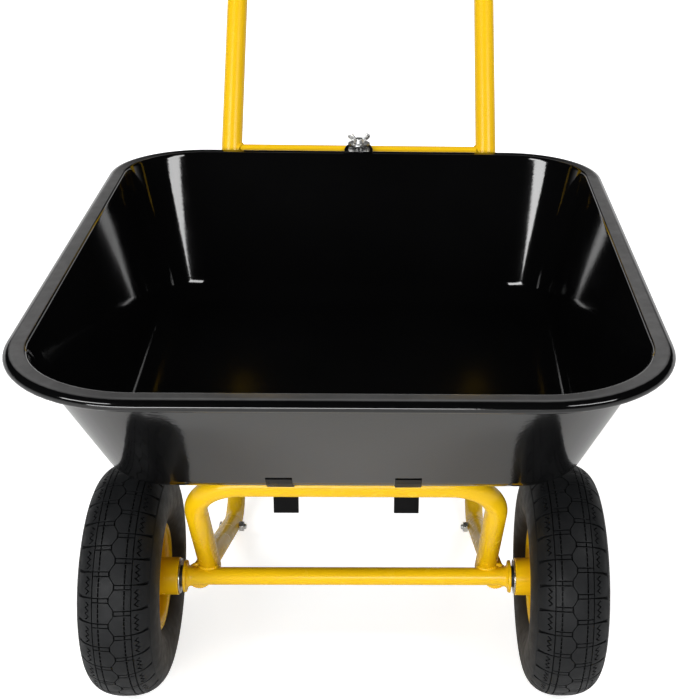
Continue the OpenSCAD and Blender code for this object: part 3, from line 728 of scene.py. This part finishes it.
class CART_OT_tubes(bpy.types.Operator):
    """Bends the hoop, rails, legs, crossbar and handle from round tube"""

    bl_idname = "cart.tubes"
    bl_label = "Tubes"

    def execute(self, context):
        sizes = context.scene.cart_sizes

        def bent(name, node, path, bends, diameter, wall=sizes.wall):
            bm = bmesh.new()
            tube(bm, path, bends, diameter, wall)
            piece(bm, name, "frame", "yellow_paint", [node], sharp=50)

        foot = HOOP_BASE + (HOOP_BASE - HOOP_CORNER).normalized() * HOOP_DIP
        hoop = [foot, HOOP_CORNER, flipped(HOOP_CORNER, -1), flipped(foot, -1)]
        bent("hoop_tube", "front_hoop", hoop, [HOOP_BEND] * 2, sizes.tube)
        rail = [RAIL_START + WELD_LIFT * RAIL_WAY, RAIL_END]
        leg = [RAIL_END + JOINT_GAP * RAIL_WAY, FOOT, CROOK - LEG_TOP_SHORT * LEG_WAY]
        for name, side in SIDES:
            for kind, path, bends in (("_rail", rail, []), ("_leg", leg, [FOOT_BEND])):
                path = [flipped(p, side) for p in path]
                bent(name + kind + "_tube", name + kind, path, bends, sizes.tube)
        half = [CROOK - SLEEVE * LEG_WAY, CROOK, TOP]
        handle = half + [flipped(p, -1) for p in reversed(half)]
        bends = [CROOK_BEND, HANDLE_BEND, HANDLE_BEND, CROOK_BEND]
        bent("handle_tube", "handle_loop", handle, bends, sizes.handle)
        bar = middle("rear_crossbar")
        reach = CROOK.x - sizes.handle / 2 + sizes.wall / 2
        ends = [Vector((side * reach, bar.y, bar.z)) for side in (-1, 1)]
        bent("crossbar_tube", "rear_crossbar", ends, [], sizes.crossbar, 0)
        return {"FINISHED"}


def far_x(node):
    """Where a CAD node ends on the right"""
    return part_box(node)[1].x


def on_axle(side, x):
    """Placement on the axle at a distance from the middle: Z points away from the cart"""
    return aimed(AXLE + side * x * X, side * X)


class CART_OT_axle(bpy.types.Operator):
    """Turns the axle tube with its end flanges, and the rod, spacers, washers and nuts on it"""

    bl_idname = "cart.axle"
    bl_label = "Axle"

    def execute(self, context):
        tube_r, rod_r = extent("axle_tube").z / 2, extent("axle_rod").z / 2
        flange, outer = extent("right_axle_flange"), far_x("right_axle_flange")
        collar = outer - flange.x - 0.009
        half = [(tube_r, 0), (tube_r, collar), (tube_r + 0.0012, collar + 0.002)]
        half += arc((tube_r + 0.0066, outer - flange.x - 0.0054), 0.0054, 180, 90, 6)
        half += [(flange.z / 2 - 0.0006, outer - flange.x)]
        half += arc((flange.z / 2 - 0.0006, outer - 0.0006), 0.0006, 0, 90, 3)
        half += [(rod_r + 0.0001, outer)]
        sleeve, shaft, nuts, washers = (bmesh.new() for _ in range(4))
        tail, nut, washer = 0.028, 0.013, 0.002
        rod = [(0, 0), (rod_r, 0), (rod_r, far_x("axle_rod") - tail)]
        washer_r = extent("axle_washers").z / 2
        ring = [(rod_r, 0), (washer_r - 0.0004, 0), (washer_r, 0.0005), (washer_r, washer - 0.0003)]
        ring += [(washer_r - 0.0003, washer), (rod_r, washer), (rod_r, 0)]
        for _, side in SIDES:
            lathe(sleeve, half, on_axle(side, 0), 56)
            lathe(shaft, rod, on_axle(side, 0), 48)
            threaded(shaft, on_axle(side, far_x("axle_rod") - tail), rod_r, tail, 0.002, 48)
            hexagon(nuts, on_axle(side, far_x("axle_nuts") - nut), 0.024, nut, rod_r)
            lathe(washers, ring, on_axle(side, far_x("axle_washers") - washer), 48)
        nodes = ["axle_tube", "left_axle_flange", "right_axle_flange"]
        piece(sleeve, "axle_sleeve", "frame", "yellow_paint", nodes, sharp=40)
        piece(shaft, "axle_shaft", "frame", "zinc_steel", ["axle_rod"], sharp=30)
        piece(nuts, "axle_hex_nuts", "frame", "zinc_steel", ["axle_nuts"], bevel=0.0004)
        piece(washers, "axle_plain_washers", "frame", "zinc_steel", ["axle_washers"], sharp=40)
        dressed("axle_spacers", "axle_bushes", "frame", "black_plastic", 0.0006)
        return {"FINISHED"}


class CART_OT_welds(bpy.types.Operator):
    """Lays the weld beads where tubes join"""

    bl_idname = "cart.welds"
    bl_label = "Welds"

    def execute(self, context):
        sizes = context.scene.cart_sizes
        axle_r, r = extent("axle_tube").z / 2, sizes.tube / 2
        bar = middle("rear_crossbar")
        run = (LEG_WAY + (TOP - CROOK).normalized()).normalized()
        bm = bmesh.new()
        for _, side in SIDES:
            base = flipped(HOOP_BASE, side)
            way = (base - flipped(HOOP_CORNER, side)).normalized()
            bead(bm, landing(base, way, r, AXLE, X, axle_r), sizes.weld * 0.9, closed=False)
            bead(bm, saddle(flipped(RAIL_START, side), RAIL_WAY, r, X, axle_r), sizes.weld)
            base = Vector((side * CROOK.x, bar.y, bar.z))
            path = saddle(base, -side * X, sizes.crossbar / 2, run, sizes.handle / 2)
            bead(bm, path, sizes.weld * 0.85)
        piece(bm, "weld_beads", "frame", "yellow_paint", sharp=80)
        return {"FINISHED"}


class CART_OT_grip(bpy.types.Operator):
    """Turns the foam grip on the handle"""

    bl_idname = "cart.grip"
    bl_label = "Grip"

    def execute(self, context):
        inner = context.scene.cart_sizes.handle / 2 + 0.0001
        half, r = extent("handle_grip").x / 2, extent("handle_grip").z / 2
        soft, waves, dip = 0.0036, 9, 0.0003
        profile = [(inner, -half), (inner + 0.0011, -half)]
        profile += arc((r - soft, -half + soft), soft, -90, 0, 6)
        for t in [k / 24 for k in range(1, 24)]:
            swell = 0.00028 * sin(waves * pi * t) * sin(pi * t)
            profile.append((r - dip + swell, -half + soft + t * (2 * half - 2 * soft)))
        profile += arc((r - soft, half - soft), soft, 0, 90, 6)
        profile += [(inner + 0.0011, half), (inner, half)]
        bm = bmesh.new()
        lathe(bm, profile, aimed(middle("handle_grip"), X), 64)
        grip = piece(bm, "foam_grip", "frame", "foam", ["handle_grip"], sharp=60)
        return {"FINISHED"}


# ---- Fasteners ----


# Length of the handle that laps over each leg, and its bolts as shares of that length
LAP, BOLTS_ALONG_LAP = 0.11, (0.25, 0.7)


def fasteners(bolts, nuts, name, body):
    """Finishes a set of bolts and a set of nuts"""
    for bm, kind in ((bolts, "bolts"), (nuts, "nuts")):
        piece(bm, f"{name}_hex_{kind}", body, "zinc_steel", [f"{name}_{kind}"], bevel=0.0003)


class CART_OT_bolts(bpy.types.Operator):
    """Makes the round-headed bolts and the hexagon nuts of the frame"""

    bl_idname = "cart.bolts"
    bl_label = "Bolts"

    def execute(self, context):
        sizes = context.scene.cart_sizes
        across = 1.9 * sizes.bolt * cos(pi / 6)
        crown = [(0, 0), (0.0076, 0), (0.0076, 0.0006), *arc((0, -0.0058), 0.009, 45, 90, 8)]
        upright = [CROOK - (SLEEVE - share * LAP) * LEG_WAY for share in BOLTS_ALONG_LAP]
        for name, points, grip in (("leg", [LEG_BOLT], sizes.tube), ("handle", upright, sizes.handle)):
            bolts, nuts = bmesh.new(), bmesh.new()
            for side, point in [(side, point) for _, side in SIDES for point in points]:
                p, out = flipped(point, side), side * X
                face, back = p + (grip / 2 + JOINT_GAP) * out, p - (grip / 2 + JOINT_GAP) * out
                lathe(bolts, crown, aimed(face, out), 32)
                threaded(bolts, aimed(back, -out), sizes.bolt / 2, 1.2 * sizes.bolt, 0.00125)
                hexagon(nuts, aimed(back, -out), across, 0.8 * sizes.bolt, sizes.bolt / 2)
            fasteners(bolts, nuts, name, "frame")
        return {"FINISHED"}


class CART_OT_latch(bpy.types.Operator):
    """Models the wing screw and washer that hold the tray down"""

    bl_idname = "cart.latch"
    bl_label = "Latch"

    def execute(self, context):
        low, centre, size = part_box("latch_washer")[0], middle("latch_washer"), extent("latch_washer")
        r, thick, hole = size.x / 2, size.z, 0.0042
        ring = [(hole, 0), (r - 0.0004, 0), (r, 0.0004), (r, thick - 0.0005)]
        ring += [(r - 0.0005, thick), (hole + 0.0003, thick), (hole, thick - 0.0003), (hole, 0)]
        bm = bmesh.new()
        lathe(bm, ring, aimed((centre.x, centre.y, low.z), Z), 64)
        piece(bm, "latch_flat_washer", "latch_washer", "zinc_steel", ["latch_washer"], sharp=40)

        low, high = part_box("wing_screw")
        base = high.z - 0.0145
        screw_r, boss_r, boss_h, half_wing = 0.004, 0.008, 0.0072, 0.0015
        bm = bmesh.new()
        place = aimed((centre.x, centre.y, base), Z)
        boss = [(0, 0), (boss_r - 0.0004, 0), (boss_r, 0.0005), (boss_r - 0.0008, boss_h - 0.0025)]
        boss += arc((boss_r - 0.0028, boss_h - 0.002), 0.002, 0, 90, 5) + [(0, boss_h)]
        lathe(bm, boss, place, 40)
        threaded(bm, aimed((centre.x, centre.y, base + 0.001), -Z), screw_r, base + 0.001 - low.z, 0.00125)
        for side in (1, -1):
            wing = bmesh.new()
            edge = [(0.003, 0.0012), (0.0079, 0.0012), (0.0112, 0.0036)]
            edge += arc((0.012, 0.010), 0.0045, -42, 148, 14)
            edge += [(0.0056, 0.0084), (0.003, boss_h - 0.0008)]
            loop = outline_2d(wing, edge)
            bmesh.ops.contextual_create(wing, geom=loop.edges())
            out = bmesh.ops.extrude_face_region(wing, geom=wing.faces[:])
            bmesh.ops.translate(wing, vec=(0, 0, 2 * half_wing), verts=verts_in(out["geom"]))
            bmesh.ops.translate(wing, vec=(0, 0, -half_wing), verts=wing.verts)
            bmesh.ops.recalc_face_normals(wing, faces=wing.faces)
            rims = [e for e in wing.edges if len(e.link_faces) == 2 and e.calc_face_angle() > 1.2]
            rims = [e for e in rims if abs(e.verts[0].co.z - e.verts[1].co.z) < 1e-6]
            bmesh.ops.bevel(
                wing, geom=rims, offset=0.0009, offset_type="OFFSET", segments=3, profile=0.5,
                affect="EDGES", material=-1,
            )
            for v in wing.verts:
                spread = min(1, max(0, (v.co.x - 0.006) / 0.008))
                v.co.z *= 1 - 0.3 * spread
            stand = Matrix.Rotation(pi / 2, 4, "X")
            turn = Matrix.Rotation(0 if side > 0 else pi, 4, "Z")
            bmesh.ops.transform(wing, matrix=place @ turn @ stand, verts=wing.verts)
            add_part(bm, wing)
        piece(bm, "wing_bolt", "wing_screw", "zinc_steel", ["wing_screw"], sharp=38)
        return {"FINISHED"}


# ---- Wheels ----

# Radius where the tyre is widest, squareness of its oval section, and length of a tread pitch in mm
SECTION_R = 0.091
OVAL = 0.82
PITCH = 27.2


def wheel_place(side):
    """Placement of a wheel: Z is its axis, pointing away from the cart"""
    return aimed((side * WHEEL_X, AXLE.y, AXLE.z), side * X)


def oval_table():
    """Tyre's section from the crown to the bead as (arc length, radius, offset, normal)"""
    a, b = extent("right_tyre").x / 2, TYRE_R - SECTION_R
    points = []
    for k in range(721):
        t = radians(k / 4)
        c, s = cos(t), sin(t)
        points.append(Vector((SECTION_R + copysign(b, c) * abs(c) ** OVAL, a * abs(s) ** OVAL)))
    table, run = [], 0.0
    for p, before, after in zip(points, [points[0]] + points, points[1:] + [points[-1]]):
        run += (p - before).length
        way = after - before
        normal = X.xy if p is points[0] else Vector((way.y, -way.x)).normalized()
        table.append((run, p, normal))
    return table


OVAL_TABLE = oval_table()


def on_tyre(u, lift=0.0):
    """(radius, offset) at a distance over the tyre from its crown, lifted off the surface"""
    run = abs(u)
    k = min(bisect_right(OVAL_TABLE, run, key=lambda row: row[0]), len(OVAL_TABLE) - 1)
    (ra, pa, na), (rb, pb, nb) = OVAL_TABLE[k - 1], OVAL_TABLE[k]
    t = min(1, max(0, (run - ra) / max(rb - ra, 1e-9)))
    p = pa.lerp(pb, t) + lift * na.lerp(nb, t).normalized()
    return p.x, p.y if u >= 0 else -p.y


# Pads of one pitch with their holes, in mm: distance round the tyre, distance from the crown
SLITS = [
    [(s, 12.8), (s + 4.4, 12.8), (s + 4.4, 14.5), (s, 14.5)] for s in (1.2, 6.4, 11.6, 16.8)
]
SIPE = [(3.2, 28.6), (6.6, 24.6), (9.8, 29.0), (13.0, 24.8), (16.2, 28.8), (19.4, 24.6), (22.4, 28.0)]
SIPE = [(s, u + 1.1) for s, u in SIPE] + [(s, u - 1.1) for s, u in reversed(SIPE)]
TREAD = [
    ([(0.5, 3.2), (8.0, -1.8), (14.4, -1.8), (21.9, 3.2), (21.9, 20.0), (0.5, 20.0)], SLITS),
    ([(23.1, 3.4), (26.5, 3.4), (26.5, 12.9), (23.1, 12.9)], []),
    ([(23.1, 14.4), (26.5, 14.4), (26.5, 20.0), (23.1, 20.0)], []),
    ([(0.5, 21.2), (26.5, 21.2), (26.3, 33.0), (27.0, 41.5), (4.2, 41.5), (1.7, 33.0)], [SIPE]),
]
# Cuts that let the flat pads bend over the tyre and round it
CUTS_ROUND, CUTS_ACROSS = (8, 17, 23, 31, 33, 36, 39), (6.0, 11.2, 16.4, 22.2)
# Rings on the sidewall: distance from the crown and height
SIDE_RINGS = ((0.0455, 0.0006), (0.0530, 0.0004), (0.0605, 0.0006))
SIDE_RING_HALF = 0.0012
# Where the tread ends, how far its sunk ground reaches beyond and rises, and what the rim hides
TREAD_END, GROUND_END, GROUND_RISE, HIDDEN_EDGE = 0.0405, 0.0425, 0.003, 0.022


def tread_pitch(bm, sign, shift, depth, count):
    """Raised pads of one pitch on one side of a tyre, wrapped on its surface"""
    flat = bmesh.new()
    for pad, holes in TREAD:
        loops = [e for points in (pad, *holes) for e in outline_2d(flat, points).edges()]
        bmesh.ops.triangle_fill(flat, edges=loops, use_beauty=True, use_dissolve=False)
    cuts = [((0, u, 0), Y) for u in CUTS_ROUND] + [((s, 0, 0), X) for s in CUTS_ACROSS]
    for place, away in cuts:
        whole = flat.verts[:] + flat.edges[:] + flat.faces[:]
        bmesh.ops.bisect_plane(flat, geom=whole, plane_co=place, plane_no=away, dist=1e-4)
    bmesh.ops.remove_doubles(flat, verts=flat.verts, dist=1e-3)
    out = bmesh.ops.extrude_face_region(flat, geom=flat.faces[:])
    bmesh.ops.translate(flat, vec=(0, 0, 1), verts=verts_in(out["geom"]))
    unit = 2 * pi * TYRE_R * 1000 / count / PITCH
    for v in flat.verts:
        angle = (v.co.x + shift) * unit / 1000 / TYRE_R
        lift = 0.0 if v.co.z > 0.5 else -depth - 0.0006
        r, z = on_tyre(sign * v.co.y / 1000, lift)
        v.co = Vector((r * cos(angle), r * sin(angle), z))
    add_part(bm, flat)


class CART_OT_tyres(bpy.types.Operator):
    """Turns the tyres and lays the tread blocks round them"""

    bl_idname = "cart.tyres"
    bl_label = "Tyres"

    def execute(self, context):
        sizes = context.scene.cart_sizes
        depth, count = sizes.tread, sizes.pitches
        bead_u = OVAL_TABLE[-1][0] - HIDDEN_EDGE
        steps = 96
        for name, side in SIDES:
            bm = bmesh.new()
            for sign, shift in ((1, 0), (-1, PITCH / 2)):
                tread_pitch(bm, sign, shift, depth, count)
            bmesh.ops.spin(
                bm, geom=bm.verts[:] + bm.edges[:] + bm.faces[:], cent=(0, 0, 0), axis=(0, 0, 1),
                angle=2 * pi * (count - 1) / count, steps=count - 1, use_duplicate=True,
            )
            bmesh.ops.remove_doubles(bm, verts=bm.verts, dist=2e-6)
            profile = []
            for u in [bead_u * k / steps for k in range(-steps, steps + 1)]:
                lift = -depth * min(1, max(0, (GROUND_END - abs(u)) / GROUND_RISE))
                for ring, rise in SIDE_RINGS:
                    lift += rise * max(0, 1 - abs(abs(u) - ring) / SIDE_RING_HALF)
                profile.append(on_tyre(u, min(lift, 0.0)))
            pads = set(bm.faces)
            lathe(bm, profile, Matrix(), 144)
            inner, edge = on_tyre(TREAD_END)
            # The sunk ground round the pads takes the darker groove finish, which is painted shade
            for face in set(bm.faces) - pads:
                spot = face.calc_center_median()
                if abs(spot.z) < edge and Vector((spot.x, spot.y)).length > inner - depth:
                    face.material_index = 1
            bmesh.ops.transform(bm, matrix=wheel_place(side), verts=bm.verts)
            nodes = [name + "_tyre"]
            tyre = piece(bm, name + "_tyre_rubber", name + "_wheel", "tyre_rubber", nodes, sharp=38)
            tyre.data.materials.append(finish("tyre_painted_groove_shade"))
        return {"FINISHED"}


class CART_OT_wheels(bpy.types.Operator):
    """Turns the rims, hubs, bearings and caps, and bolts the rims together"""

    bl_idname = "cart.wheels"
    bl_label = "Wheels"

    def execute(self, context):
        web, barrel, flange, lip = 0.0026, 0.0495, 0.0603, 0.031
        seat, bolt_r, across, wall = 0.0028, 0.003, 0.0099, 0.0016
        hub_r = extent("right_hub").z / 2
        for name, side in SIDES:
            body = name + "_wheel"
            place = wheel_place(side)
            for half, end in (("outer", 1), ("inner", -1)):
                line = [(hub_r + 0.0002, web), (hub_r + 0.003, web)]
                line += arc((barrel - 0.006, web + 0.006), 0.006, -90, 0, 8)
                line += [(barrel, 0.0245)]
                line += arc((barrel + 0.0065, 0.0245), 0.0065, 180, 90, 8)
                line += arc((flange - 0.0017, lip - 0.0017), 0.0017, 90, -60, 8)
                bm = bmesh.new()
                lathe(bm, line, Matrix(), 96)
                flip = Matrix.Diagonal((1, 1, end, 1))
                bmesh.ops.transform(bm, matrix=place @ flip, verts=bm.verts)
                node = name + "_" + half + "_rim"
                rim = piece(bm, node + "_pressing", body, "yellow_paint", [node], sharp=60)
                solid = rim.modifiers.new("Wall", "SOLIDIFY")
                solid.thickness, solid.offset, solid.use_even_offset = wall, 0, True
            for kind, new, slot, bevel in (
                ("_hub", "_hub_barrel", "yellow_paint", 0.0008),
                ("_bearings", "_ball_bearings", "zinc_steel", 0.0004),
                ("_bearing_cap", "_dust_cap", "zinc_steel", 0.0005),
                ("_valve", "_valve_stem", "tyre_rubber", 0.0006),
            ):
                dressed(name + kind, name + new, body, slot, bevel)
            bolts, nuts = bmesh.new(), bmesh.new()
            for k in range(4):
                turn = Matrix.Rotation(radians(45 + 90 * k), 4, "Z")
                spot = place @ turn @ Matrix.Translation((0.034, 0, 0))
                over = spot @ Matrix.Translation((0, 0, seat))
                under = spot @ Matrix.Rotation(pi, 4, "X") @ Matrix.Translation((0, 0, seat))
                hexagon(bolts, over, across, 0.0039)
                threaded(bolts, under, bolt_r, 0.0072, 0.001)
                hexagon(nuts, under, across, 0.0048, bolt_r)
            fasteners(bolts, nuts, name + "_rim", body)
        return {"FINISHED"}


# ---- Finishes of the CAD nodes ----

SLOT_OF = {
    "yellow_paint": (
        "hoop", "axle_tube", "flange", "rail", "leg", "handle_loop", "crossbar", "_rim", "hub",
    ),
    "tyre_rubber": ("tyre", "valve"),
    "tube_rubber": ("inner_tube",),
    "black_paint": ("tray", "latch_tab"),
    "black_plastic": ("spacers",),
    "foam": ("grip",),
}


class CART_OT_finishes(bpy.types.Operator):
    """Gives every CAD node the finish of its material"""

    bl_idname = "cart.finishes"
    bl_label = "Finishes"

    def execute(self, context):
        for node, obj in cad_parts.items():
            steel = any(word in node for word in ("bolts", "nuts", "screw", "washer", "rod", "bearing"))
            slots = [s for s, words in SLOT_OF.items() if any(w in node for w in words)]
            name = "zinc_steel" if steel or not slots else slots[0]
            obj.data.materials.clear()
            obj.data.materials.append(finish(name))
        return {"FINISHED"}


# ---- Studio ----


class CART_OT_studio(bpy.types.Operator):
    """Sets the floor, the lamps and the camera"""

    bl_idname = "cart.studio"
    bl_label = "Studio"

    def execute(self, context):
        scene = context.scene
        self.floor(scene)
        self.world(scene)
        for name, spot, aim, size, power in (
            ("Key", (-2.3, -1.9, 3.05), (0, 0, 0.5), (1.95, 0.58), 50),
            ("Fill", (2.3, -1.9, 3.05), (0, 0, 0.5), (1.95, 0.58), 44),
            ("Back", (0, 2.6, 3.2), (0, 0, 0.4), (2.2, 0.8), 5),
            ("Low", (-0.9, -3.2, 0.9), (0, 0, 0.25), (2.6, 0.5), 72),
        ):
            lamp = bpy.data.lights.new(name, "AREA")
            lamp.shape, lamp.size, lamp.size_y = "RECTANGLE", size[0], size[1]
            lamp.energy = power
            placed(name, lamp).matrix_world = aimed(spot, Vector(spot) - Vector(aim))
        self.camera(scene)
        scene.view_settings.view_transform = "Standard"
        return {"FINISHED"}

    def floor(self, scene):
        """Pale floor that glows where it is seen, and keeps the cart's shadow near it"""
        bm = bmesh.new()
        bmesh.ops.create_grid(bm, x_segments=1, y_segments=1, size=14)
        mesh = mesh_of(bm, "floor")
        placed("floor", mesh)
        f = Finish("floor_paint", Roughness=0.8, Specular_IOR_Level=0.2)
        pale = tuple(scene.cart_colours.floor)
        f.use(f.mix(f.span(f.noise(3, 3), 0, 1), pale, shade(pale, 0.985)))
        rays = f.add("LightPath").outputs
        dim = f.math("MULTIPLY", rays["Is Glossy Ray"], 0.2)
        seen = f.math("MAXIMUM", rays["Is Camera Ray"], dim)
        seen = f.math("MAXIMUM", seen, rays["Is Transmission Ray"])
        glow = f.math("MULTIPLY", seen, f.span(f.size(f.place), 0.7, 1, 0.9, 2.6))
        light = f.add("Emission", {"Color": (1, 1, 1, 1), "Strength": glow})
        both = f.add("AddShader", {0: f.shader.outputs[0], 1: light.outputs[0]})
        f.tree.links.new(both.outputs[0], f.tree.nodes["Material Output"].inputs["Surface"])
        mesh.materials.append(f.material)

    def world(self, scene):
        """White where it is seen, a pale wall behind in reflections, and an even light elsewhere"""
        world = bpy.data.worlds.new("studio")
        scene.world = world
        world.use_nodes = True
        world.node_tree.nodes.clear()
        w = Nodes(world.node_tree)
        rays = w.add("LightPath").outputs
        split = w.parts(w.add("TexCoord").outputs["Generated"])
        wall = w.span(split["Z"], 1, 0, 0.08, 0.24, "SMOOTHSTEP")
        behind = w.span(split["Y"], 0, 1, 0.3, 0.8, "SMOOTHSTEP")
        horizon = w.span(split["Z"], 0.9, 0.004, 0.02, 0.12, "SMOOTHSTEP")
        mirrored = w.math("MAXIMUM", w.math("MULTIPLY", wall, behind), horizon)
        light = w.blend(rays["Is Glossy Ray"], 0.42, mirrored)
        seen = w.math("MAXIMUM", rays["Is Camera Ray"], rays["Is Transmission Ray"])
        strength = w.blend(seen, light, 1.0)
        sky = w.add("Background", {"Strength": strength, "Color": (1, 1, 1, 1)})
        w.add("OutputWorld", {"Surface": sky.outputs[0]})

    def camera(self, scene):
        data = bpy.data.cameras.new("camera")
        data.sensor_width, data.lens = 36, 63.55365
        data.shift_x, data.shift_y = -0.109528, -0.129514
        data.clip_start, data.clip_end = 0.05, 60
        camera = placed("camera", data)
        yaw, pitch, roll = 0.028, 0.347, 0.018
        turn = Matrix.Rotation(-yaw, 4, "Z") @ Matrix.Rotation(pi / 2 - pitch, 4, "X")
        camera.matrix_world = (
            Matrix.Translation(at(38.0, -1212.7, 957.5)) @ turn @ Matrix.Rotation(roll, 4, "Z")
        )
        scene.camera = camera


class CART_PT_panel(bpy.types.Panel):
    """Sizes, colours and makers of the cart's pieces"""

    bl_label = "Dump cart"
    bl_idname = "CART_PT_panel"
    bl_space_type = "VIEW_3D"
    bl_region_type = "UI"
    bl_category = "Cart"

    def draw(self, context):
        scene = context.scene
        for group in (scene.cart_sizes, scene.cart_colours):
            column = self.layout.column()
            for name in group.bl_rna.properties.keys():
                if name not in ("name", "rna_type"):
                    column.prop(group, name)
        for operator in OPERATORS:
            self.layout.operator(operator.bl_idname)


OPERATORS = (
    CART_OT_finishes, CART_OT_tray, CART_OT_tubes, CART_OT_axle, CART_OT_welds, CART_OT_grip,
    CART_OT_bolts, CART_OT_latch, CART_OT_tyres, CART_OT_wheels, CART_OT_studio,
)


def register():
    for cls in (CartSizes, CartColours, *OPERATORS, CART_PT_panel):
        bpy.utils.register_class(cls)
    bpy.types.Scene.cart_sizes = PointerProperty(type=CartSizes)
    bpy.types.Scene.cart_colours = PointerProperty(type=CartColours)


def unregister():
    del bpy.types.Scene.cart_colours
    del bpy.types.Scene.cart_sizes
    for cls in (CART_PT_panel, *reversed(OPERATORS), CartColours, CartSizes):
        bpy.utils.unregister_class(cls)


def main():
    register()
    for operator in OPERATORS:
        group, name = operator.bl_idname.split(".")
        if getattr(getattr(bpy.ops, group), name)() != {"FINISHED"}:
            raise RuntimeError(f"{operator.bl_label} did not finish")


if __name__ == "__main__":
    main()
